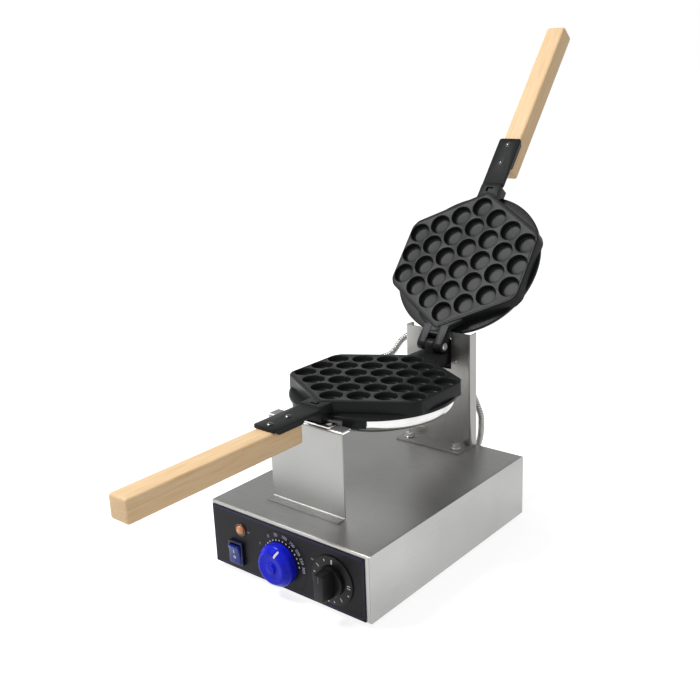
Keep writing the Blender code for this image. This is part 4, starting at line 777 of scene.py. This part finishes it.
ticks = [mark(*tick) for tick in (
    (-82, 0.0232, 0.0252, 0.0014), (-56, 0.0204, 0.0250, 0.0010), (-24, 0.0222, 0.0248, 0.0014),
    (2, 0.0194, 0.0246, 0.0020), (88, 0.0212, 0.0256, 0.0010), (95, 0.0212, 0.0256, 0.0010),
    (116, 0.0240, 0.0260, 0.0016), (147, 0.0206, 0.0252, 0.0012), (174, 0.0240, 0.0262, 0.0014),
    (-168, 0.0240, 0.0276, 0.0018), (-136, 0.0226, 0.0248, 0.0008),
    (-108, 0.0226, 0.0248, 0.0008))]
fitted("timer_marks", joined(ticks), white_ink_and_highlight, "black_plastic", "base")
bar_place = lying(timer_x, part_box("timer_knob")[1].y, timer_z)
profile = [(0, 0.0), (0.0166, 0.0)] + rounding((0.0168, 0.0007), 0.0007, -80, 0)
profile += [(0.0172, 0.0034)] + rounding((0.0160, 0.0038), 0.0012, 10, 90) + [(0, 0.0050)]
skirt = turned(profile, 72)
bar = slab(eased(rectangle(bar_width, bar_length), 0.0022), "Z", bar_foot, bar_top)
for corner in bar.verts:
    spread = 1.0 + bar_draft * (bar_top - corner.co.z) / (bar_top - bar_foot)
    corner.co.x *= spread
    corner.co.y *= spread
ease(bar, 0.0009, 3, bar_top - 0.0001)
bore = slab(oval(2 * spindle_hole, 2 * spindle_hole, count=24), "Z", -0.002, knob_bore)
form = moved(carve(grown([skirt, bar]), bore), bar_place)
fitted("bar_knob", form, knob_black, "black_plastic", "timer_knob", "timer_knob")
# Painted highlight: a grey line along the bar's face, lighter than the black plastic.
line = slab(rectangle(0.0009, 0.0075, 0.0, 0.0102), "Z", bar_top - 0.0002, bar_top + 0.00004)
fitted("bar_knob_painted_highlight", moved(line, bar_place), grey_ink_and_highlight, "black_plastic", "timer_knob")

# Inside the box, out of sight: the two control units with their spindles and the ceramic block
# where the wires meet.
unit_grey = mottled("unit_grey", 200, ((0.20, 0.20, 0.21), (0.30, 0.30, 0.31)), (0.42, 0.58))
block_white = mottled("block_white", 240, ((0.74, 0.73, 0.69), (0.83, 0.82, 0.78)), (0.22, 0.38))
dress(unit_grey, "thermostat_unit", "timer_unit")
dress(block_white, "terminal_block")
dress(fitting_steel, "thermostat_shaft", "timer_shaft")

# Mains inlet: a black moulded cable gland clamped in a hole of the rear wall. Its cap is ribbed
# for the fingers and tapers towards the rear.
inlet_x, inlet_z, inlet_ribs, rib_pitch = -0.075, base_z + 0.026, 3, 0.0020
profile = [(0.0040, -0.0063), (0.0063, -0.0063), (0.0063, 0.0003), (0.0086, 0.0003),
           (0.0090, 0.0007), (0.0090, 0.0030), (0.0086, 0.0034)]
for rib in range(inlet_ribs):
    profile += [(radius, height + rib_pitch * rib) for radius, height in (
        (0.0084, 0.0040), (0.0088, 0.0044), (0.0088, 0.0052), (0.0084, 0.0056))]
profile += [(0.0078, 0.0120), (0.0066, 0.0158), (0.0060, 0.0163), (0.0046, 0.0163),
            (0.0040, 0.0157)]
form = turned(profile, 48, lying(inlet_x, rear_y, inlet_z, -1))
fitted("mains_inlet", form, knob_black, "black_plastic", "base", "mains_inlet_gland")

# Front bracket: one stainless sheet folded forward at its foot and back at its top. Two studs
# under its foot pass through the cover, with nuts inside the box.
bracket_steel = brushed_steel("bracket_steel", (brush_length, 1, 1),
                              ((0.37, 0.37, 0.36), (0.45, 0.45, 0.44)), (0.40, 0.50))
bolt_steel = mottled("bolt_steel", 1100, ((0.60, 0.60, 0.59), (0.80, 0.80, 0.79)), (0.14, 0.28),
                     metallic=1.0)
dress(bracket_steel, "front_bracket")
dress(bolt_steel, "bracket_nut_1", "bracket_nut_2")

# Rest plate: a mirror-bright strip fixed onto the bracket's shelf by two cross-slotted screws.
# The neck of the lower plate sits on it.
screw_length, screw_radius, screw_hole = 0.0058, 0.0020, 0.0023
bright_plate = mottled("bright_plate", 60, ((0.70, 0.70, 0.69), (0.84, 0.84, 0.83)), (0.07, 0.15),
                       stretch=(1, 3, 1), metallic=1.0)


def rod(radius, low, high, steps=32, place=None):
    """A plain round bar, such as a drill leaves empty."""
    return turned([(0, low), (radius, low), (radius, high), (0, high)], steps, place)


def screw_form():
    """A pan-head screw with a cross slot, its seat at Z = 0."""
    profile = [(0, -screw_length), (0.0014, -screw_length), (screw_radius, 0.0008 - screw_length),
               (screw_radius, 0), (0.0035, 0), (0.0038, 0.0004)]
    profile += rounding((0.0022, 0.0002), 0.0016, 10, 90, 5) + [(0, 0.0018)]
    cross = grown([slab(rectangle(0.0008, 0.0036), "Z", 0.0008, 0.003),
                   slab(rectangle(0.0036, 0.0008), "Z", 0.0009, 0.0029)])
    return carve(turned(profile, 32), cross)


def seat_over(node, height):
    """The place of an upright fastener: the middle of its CAD node, at a height."""
    low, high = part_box(node)
    return Matrix.Translation(((low.x + high.x) / 2, (low.y + high.y) / 2, height))


def fastened(node, form, place, body="base"):
    """A bright steel fastener in the place of its CAD node."""
    fitted(node + "_fine", moved(form, place), bolt_steel, "fastener_steel", body, node)


low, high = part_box("pan_rest_plate")
outline = eased(rectangle(high.x - low.x, high.y - low.y, (low.x + high.x) / 2,
                          (low.y + high.y) / 2), 0.002)
strip = slab(outline, "Z", low.z, high.z, 0.0004)
rest_screws = ("rest_screw_1", "rest_screw_2")
holes = [rod(screw_hole, -0.004, 0.004, 24, seat_over(node, low.z)) for node in rest_screws]
fitted("rest_strip", carve(strip, joined(holes)), bright_plate, "polished_steel", "base",
       "pan_rest_plate")
for node in rest_screws:
    fastened(node, screw_form(), seat_over(node, high.z + seat_gap))

# Rear column: a stainless channel with return lips, a notch in its web for the pans' turning
# joint and a foot bent forward. Two hexagon bolts with washers hold the foot.
column_sheet = 0.0015
bolt_head, bolt_head_height, bolt_radius = 0.010, 0.004, 0.003
washer_radius, washer_thick, nut_drop = 0.0065, 0.0010, 0.0031
# Painted shade: this copy of the sheet steel is darker and warmer than the cover's, for the shade
# the column stands in behind the plates.
shaded_column_steel = brushed_steel("shaded_column_steel", (1, 1, brush_length),
                             ((0.34, 0.335, 0.325), (0.42, 0.415, 0.40)))
dress(shaded_column_steel, "rear_column")


def hex_head(width, height, chamfer=0.0006):
    """A hexagon head whose corners are turned off at the top."""
    across, top = width / sqrt(3), height + 0.0002
    cone = turned([(0, -0.001), (across + 0.001, -0.001),
                   (across + 0.001, height - chamfer * 1.4), (across - chamfer * 1.6, top),
                   (0, top)])
    return carve(slab(hexagon(width), "Z", 0, height), cone, "INTERSECT")


def bolt_form(depth):
    """A hexagon bolt with its washer, its seat at Z = 0, and the nut on its lower end."""
    ring = turned([(0.001, 0), (washer_radius - 0.0002, 0), (washer_radius, 0.0002),
                   (washer_radius, washer_thick - 0.0003), (washer_radius - 0.0003, washer_thick),
                   (0.001, washer_thick)], 40)
    shank = turned([(0, -depth), (bolt_radius - 0.0005, -depth), (bolt_radius, 0.0005 - depth),
                    (bolt_radius, washer_thick + 0.001), (0, washer_thick + 0.001)], 32)
    head = moved(hex_head(bolt_head, bolt_head_height), Matrix.Translation((0, 0, washer_thick)))
    nut = moved(hex_head(bolt_head, bolt_head_height),
                Matrix.Translation((0, 0, -nut_drop)) @ Matrix.Rotation(pi, 4, "X"))
    return grown([shank, ring, head, nut])


bolt_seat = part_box("rear_column")[0].z + column_sheet + seat_gap
for node in ("column_bolt_1", "column_bolt_2"):
    fastened(node, bolt_form(bolt_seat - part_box(node)[0].z), seat_over(node, bolt_seat))

# Baking plates: two aluminium castings with a black non-stick coating. Each has thirty cups, a
# round rim under its hexagon, a neck and a stepped tongue for the handle. The lower one ends in
# an arm and a hinge knuckle, the upper one in two ears.
coating = mottled("coating", 1400, ((0.010, 0.011, 0.011), (0.017, 0.018, 0.018)), (0.32, 0.40),
                  (0.00005, 0.3), gloss=0.13)
hinge_reach, lower_axis = 0.120871, 0.00845
lower_pan = Matrix.Translation((0, hinge_y - hinge_reach, pan_face_z))
upper_pan = (Matrix.Translation(hinge_place) @ Matrix.Rotation(-open_angle, 4, "X")
             @ Matrix.Translation((0, -hinge_reach, upper_axis)) @ Matrix.Rotation(pi, 4, "Y"))
cup_rows, cup_pitch, cup_radius, cup_depth = 6, 0.031, 0.0134, 0.0082
cup_mouth_round, cup_floor_round, cup_slope = 0.0008, 0.0034, 0.0040
hex_half, hex_side, hex_tip, corner_cut = 0.09604, 0.045722, 0.101171, 0.0062
plate_thick, plate_draft = 0.016, 1.0062
seam_inset, seam_width, seam_depth = 0.0016, 0.0003, 0.0005
rim_radius, rim_low, rim_high = 0.100971, -0.018, -0.014
lip_inner, lip_outer, lip_top = 0.0139, 0.01595, -0.0046
pad_turn = radians(25)
rivet_places, rivet_hole = (-0.14797, -0.17597), 0.0025
ear_radius, pin_hole, arm_start = 0.0078, 0.0033, 0.08277
pivot_y, pivot_z = front_y + 0.2929, base_z + 0.2046
head_screws, head_screw_back = (-0.008, 0.008), 0.012


def both_sides(half):
    """An outline closed by the mirror image of its right half."""
    return half + [(-x, y) for x, y in reversed(half)]


def cup_cutters():
    """Cups on a lattice of slanting rows, with rounded mouths, steep walls and wide floors."""
    mouth, floor_z = cup_radius + cup_mouth_round, -0.0001 - cup_depth
    profile = [(0, 0.002), (mouth, 0.002)]
    profile += rounding((mouth, -cup_mouth_round), cup_mouth_round, 90, 175, 5)
    profile += rounding((cup_radius - cup_slope, cup_floor_round - cup_depth), cup_floor_round,
                        -8, -82, 9)
    profile += [(cup_radius * 0.4, floor_z), (0, floor_z)]
    cups = []
    for i in range(cup_rows):
        for j in range(cup_rows):
            if abs(i - j) <= 3:
                x, y = cup_pitch * sqrt(3) / 2 * (j - i), cup_pitch / 2 * (i + j - 5)
                cups.append(turned(profile, 40, Matrix.Translation((x, y, 0))))
    return joined(cups)


def hexagon_body():
    """The drafted hexagon with its cut side corners, and the fine groove inside its edge."""
    low, near, high = (hex_side - corner_cut, hex_half - corner_cut * cos(pi / 6),
                       hex_side + corner_cut / 2)
    corners = [(hex_half, -low), (hex_half, low), (near, high), (0, hex_tip), (-near, high),
               (-hex_half, low), (-hex_half, -low), (-near, -high), (0, -hex_tip), (near, -high)]
    body = slab(eased(corners, 0.0030, 6), "Z", -plate_thick, 0)
    for corner in body.verts:
        if corner.co.z < -0.001:
            corner.co.x *= plate_draft
            corner.co.y *= plate_draft
    ease(body, 0.0014, 3, -0.001)
    face = max(body.faces, key=lambda part: part.calc_center_median().z + part.calc_area())
    for width, sink in ((seam_inset, 0), (seam_width, -seam_depth), (seam_width, 0),
                        (seam_width, seam_depth)):
        bmesh.ops.inset_region(body, faces=[face], thickness=width, depth=0)
        bmesh.ops.translate(body, vec=(0, 0, sink), verts=face.verts)
    return body


def plate_solids():
    """The parts that both plates are cast from, in their own frame, the baking face at Z = 0."""
    rim = [(0, rim_low), (rim_radius - 0.0005, rim_low)]
    rim += rounding((rim_radius - 0.0005, rim_low + 0.0005), 0.0005, -90, 0, 3)
    rim += rounding((rim_radius - 0.0011, rim_high - 0.0011), 0.0011, 0, 90) + [(0, rim_high)]
    neck = slab(eased(both_sides([(0.0150, -0.1128), (0.0150, -0.0921), (0.0300, -0.0834),
                                  (0.0300, -0.0700)]), 0.0024, 5), "Z", -0.0136, -0.0008)
    for corner in neck.verts:
        if corner.co.z < -0.010 and corner.co.y < -0.105:
            corner.co.z = -0.0078
    ease(neck, 0.0007, 3)
    step = slab([(-0.1100, -0.0014), (-0.1134, -0.0018), (-0.1146, -0.0026), (-0.1172, -0.0031),
                 (-0.1210, -0.0036), (-0.1100, -0.0066)], "X", -0.0147, 0.0147, 0.0004)
    tongue = slab(eased(both_sides([(0.0160, -0.1105), (0.0160, -0.1859)]), 0.0036, 6), "Z",
                  -0.0071, -0.0030, 0.0007)
    solids = [hexagon_body(), turned(rim, 144), neck, step, tongue]
    lip = [(-0.13897, lip_top), (-0.13897, -0.0066), (-0.14277, -0.0105), (-0.1790, -0.0105),
           (-0.1829, -0.0066), (-0.1829, lip_top)]
    for low, high in ((-lip_outer, -lip_inner), (lip_inner, lip_outer)):
        solids.append(slab(eased(lip, 0.0008, 3), "X", low, high, 0.0004))
    for side in (-1, 1):
        pad = slab(rectangle(0.027, 0.0032, 0, -0.0978), "Z", -0.027, -0.0165, 0.0005)
        solids.append(moved(pad, Matrix.Rotation(side * pad_turn, 4, "Z")))
    boss = slab(rectangle(0.0278, 0.0158, 0, -0.1042), "Z", -0.0205, -0.0055, 0.0008, 3)
    stud = turned([(0, -0.0403), (0.0026, -0.0403), (0.0030, -0.0399), (0.0030, -0.0175),
                   (0, -0.0175)], 32)
    return solids + [boss, stud]


def plate(name, hinge_parts, axis_z, holes, body, place, node):
    """One casting: its solids grown together, then cut by cups, catch slot, holes and bore."""
    catch = [(-0.0050, -0.1084), (0.0056, -0.1084), (0.0056, -0.1014), (0.0020, -0.1014),
             (0.0020, -0.1050), (-0.0050, -0.1050)]
    tools = [cup_cutters(), slab(catch, "Z", -0.0034, 0.002)] + holes
    tools += [rod(rivet_hole, -0.010, 0.001, 24, Matrix.Translation((0, y, 0)))
              for y in rivet_places]
    tools.append(rod(pin_hole, -0.03, 0.03, 32, Matrix.Translation((0, hinge_reach, axis_z))
                     @ Matrix.Rotation(pi / 2, 4, "Y")))
    form = carve(grown(plate_solids() + hinge_parts), joined(tools))
    fitted(name, moved(form, place), coating, "black_coating", body, node)


near = hinge_reach - ear_radius
arm = slab([(arm_start, -0.001), (near - 0.0048, -0.001), (near - 0.0036, -0.0012),
            (0.12897, -0.0012), (0.12897, -0.0140), (arm_start, -0.0140)], "X", -0.0182, 0.0182,
           0.0008, 3)
knuckle = [(near, -0.007)] + rounding((hinge_reach, lower_axis), ear_radius, 180, 0, 20)
knuckle = slab(knuckle + [(hinge_reach + ear_radius, -0.007)], "X", -0.006, 0.006, 0.0005)
head_seat = pivot_y - head_screw_back - lower_pan.translation.y
head_holes = [rod(screw_hole, -0.03, -0.0120, 20, Matrix.Translation((x, head_seat, 0)))
              for x in head_screws]
plate("lower_plate", [arm, knuckle], lower_axis, head_holes, "base", lower_pan, "lower_casting")
ear = [(arm_start, -0.001), (hinge_reach, -0.00015)]
ear += rounding((hinge_reach, upper_axis), ear_radius, 90, -90, 20)[1:] + [(arm_start, -0.0140)]
ears = [slab(ear, "X", low, high, 0.0005) for low, high in ((-0.0183, -0.0065), (0.0065, 0.0183))]
bridge = slab([(0.0840, -0.0009), (0.1078, -0.0009), (0.1100, -0.0030), (0.1112, -0.0070),
               (0.1112, -0.0132), (0.0840, -0.0132)], "X", -0.0120, 0.0120)
gusset = slab(eased(both_sides([(0.0180, 0.1060), (0.0180, 0.0960), (0.0330, 0.0855),
                                (0.0330, 0.0700)]), 0.0024, 5), "Z", -0.0134, -0.0007, 0.0006)
plate("upper_plate", ears + [bridge, gusset], upper_axis, [], "lid", upper_pan, "upper_casting")

# Hinge pin: a bright steel pin through the upper plate's ears and the lower plate's knuckle, with
# a turned head at each end that keeps it in.
pin_head, pin_radius, pin_end, pin_shoulder = 0.0048, 0.0030, 0.0201, 0.0186
end = [(pin_radius, pin_shoulder), (pin_head, pin_shoulder), (pin_head, pin_end - 0.0006),
       (pin_head - 0.0006, pin_end), (0, pin_end)]
profile = [(radius, -height) for radius, height in reversed(end)] + end
fastened("hinge_pin", turned(profile),
         Matrix.Translation(hinge_place) @ Matrix.Rotation(pi / 2, 4, "Y"))

# Heaters, under the plates inside the dishes: bent tubular elements, each held up by a flat
# steel strip.
tube_steel = mottled("tube_steel", 80, ((0.13, 0.12, 0.12), (0.27, 0.24, 0.21)), (0.38, 0.55),
                     metallic=1.0)
dress(tube_steel, "upper_heater", "lower_heater")
dress(side_steel, "upper_heater_clamp", "lower_heater_clamp")

# Dishes: spun from thin stainless sheet and polished, one under each plate. A nut on the
# plate's stud holds each.
dish_radius, dish_corner, dish_sheet = 0.094971, 0.011, 0.001
dish_floor, dish_top = -dish_depth, -0.0183
stud_hole, fitting_hole = 0.0033, 0.0043
dish_nut, dish_nut_height = 0.012, 0.004
dish_steel = mottled("dish_steel", 30, ((0.62, 0.62, 0.61), (0.80, 0.80, 0.79)), (0.07, 0.16),
                     stretch=(1, 1, 4), metallic=1.0)
for name, place, body, hole in (
        ("lower_dish", lower_pan, "base",
         facing(outwards * 0.090 + Vector((0, 0, -fitting_drop)), outwards)),
        ("upper_dish", upper_pan, "lid",
         Matrix.Translation((fitting_side, hinge_reach - fitting_reach, -0.040)))):
    bend = (dish_radius - dish_corner, dish_floor + dish_corner)
    profile = [(stud_hole, dish_floor)] + rounding(bend, dish_corner, -90, 0, 10)
    profile += [(dish_radius, dish_top), (dish_radius - dish_sheet, dish_top)]
    profile += rounding(bend, dish_corner - dish_sheet, 0, -90, 10)
    profile += [(stud_hole, dish_floor + dish_sheet)]
    form = carve(turned(profile, 120), rod(fitting_hole, -0.004, 0.010, 32, hole))
    fitted(name + "_fine", moved(form, place), dish_steel, "polished_steel", body, name)
    nut = carve(hex_head(dish_nut, dish_nut_height), rod(stud_hole, -0.001, 0.006))
    fastened(name + "_nut", nut, place @ Matrix.Translation((0, 0, dish_floor - seat_gap))
             @ Matrix.Rotation(pi, 4, "X"), body)

# Handles: planed beech with rounded edges, held between the tongue's lips by two domed steel
# rivets. The grain runs along them.
handle_width, handle_thick, handle_middle = 0.0274, 0.026, -0.0203
handle_end, handle_start = -0.37297, -0.14097
rivet_seat, rivet_length, rivet_shank, rivet_dome = -0.0027, 0.0199, 0.0022, 0.0050
rivet_steel = mottled("rivet_steel", 1100, ((0.12, 0.12, 0.12), (0.20, 0.20, 0.20)), (0.12, 0.22),
                      metallic=1.0)
for side, place, body in (("lower", lower_pan, "base"), ("upper", upper_pan, "lid")):
    beech = new_surface(side + "_beech", (0.86, 0.61, 0.34), 0.5)
    growth = grain(beech, 420, (1, 0.05, 1), 4.0, place)
    blend_tones(beech, growth, ((0.78, 0.50, 0.25), (0.87, 0.60, 0.33), (0.92, 0.68, 0.41)),
                (0.24, 0.45, 0.72))
    vary(beech, growth, 0.44, 0.58)
    relief(beech, growth, 0.00008, 0.3)
    bar = slab(eased(rectangle(handle_width, handle_thick, 0, handle_middle), 0.0036, 6), "Y",
               handle_end, handle_start, 0.0030, 5)
    holes = [rod(rivet_hole, 0, 0.018, 24, Matrix.Translation((0, y, -0.0236)))
             for y in rivet_places]
    form = moved(carve(bar, joined(holes)), place)
    fitted(side + "_handle_fine", form, beech, "beech", body, side + "_handle")
    profile = [(0, -rivet_length), (rivet_shank, -rivet_length), (rivet_shank, 0), (0.0036, 0),
               (0.0038, 0.0002)]
    profile += [(rivet_dome * sin(radians(a)), rivet_dome * cos(radians(a)) - 0.0032)
                for a in (48, 38, 28, 18, 8)] + [(0, 0.0018)]
    for number, y in enumerate(rivet_places):
        node = "%s_handle_rivet_%d" % (side, number + 1)
        form = turned(profile, 32, place @ Matrix.Translation((0, y, rivet_seat)))
        fitted(node + "_fine", form, rivet_steel, "fastener_steel", body, node)

# Turning joint, behind the lower plate: a black angle screwed under the plate's arm, its steel
# shaft, the black plate on the column that it turns in, and a nut with a washer.
wall, shelf_thick, shelf_depth, shaft_hole = 0.0046, 0.005, 0.024, 0.0033
shelf_top = base_z + 0.19005 - pivot_z
angle_outline = [(-shelf_depth, shelf_top - shelf_thick), (wall, shelf_top - shelf_thick),
                 (wall, 0.005), (0, 0.005), (0, shelf_top), (-shelf_depth, shelf_top)]
angle = slab(angle_outline, "X", -0.016, 0.016, 0.0007, 3)
form = carve(angle, rod(shaft_hole, -0.002, 0.008, 32, lying(0, 0, 0, -1)))
for x in head_screws:
    seat = Matrix.Translation((x, -head_screw_back, shelf_top - shelf_thick + 0.0001))
    form = grown([form, moved(screw_form(), seat @ Matrix.Rotation(pi, 4, "X"))])
fitted("turning_head_fine", moved(form, Matrix.Translation((0, pivot_y, pivot_z))), coating,
       "black_coating", "base", "turning_head")

thread_radius, thread_root, thread_pitch, thread_turns = 0.0060, 0.0055, 0.00125, 9
shaft_low, shaft_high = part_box("pivot_shaft")
length = shaft_high.y - shaft_low.y
profile = [(0, 0), (0.0026, 0), (0.0030, 0.0004), (0.0030, wall), (0.0056, wall),
           (thread_radius, 0.0050)]
for turn in range(thread_turns):
    start = length - 0.0120 + turn * thread_pitch
    profile += [(thread_radius, start), (thread_root, start + 0.0006)]
profile += [(0.0050, length), (0, length)]
fastened("pivot_shaft", turned(profile), lying(0, shaft_low.y, pivot_z, -1))

bearing_front, bearing_back = front_y + 0.2978, front_y + 0.3018
bearing_z = base_z + (0.1776 + 0.2181) / 2
bearing_width, bearing_height, bearing_bore = 0.068, 0.0405, 0.0064
bearing_screw_side, bearing_screw_drop = 0.027, 0.0135
outline = eased(rectangle(bearing_width, bearing_height, 0, bearing_z), 0.003)
bore = rod(bearing_bore, 0, 0.01, 48, lying(0, bearing_back - 0.007, pivot_z, -1))
form = carve(slab(outline, "Y", bearing_front, bearing_back, 0.0005), bore)
fitted("bearing_plate_fine", form, coating, "black_coating", "base", "bearing_plate")
fixings = [moved(screw_form(), lying(x, bearing_back, pivot_z - bearing_screw_drop, -1))
           for x in (-bearing_screw_side, bearing_screw_side)]
fitted("bearing_screws", joined(fixings), bolt_steel, "fastener_steel", "base")

nut_width, nut_height, nut_chamfer, nut_bore, ring_thick = 0.019, 0.008, 0.001, 0.0063, 0.0015
ring = turned([(nut_bore, 0), (0.0108, 0), (0.0110, 0.0002), (0.0110, 0.0012),
               (0.0107, ring_thick), (nut_bore, ring_thick)])
nut = carve(hex_head(nut_width, nut_height, nut_chamfer), rod(nut_bore, -0.001, 0.010, 48))
form = grown([ring, moved(nut, Matrix.Translation((0, 0, ring_thick)))])
fastened("pivot_nut", form, lying(0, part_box("pivot_nut")[0].y, pivot_z, -1))
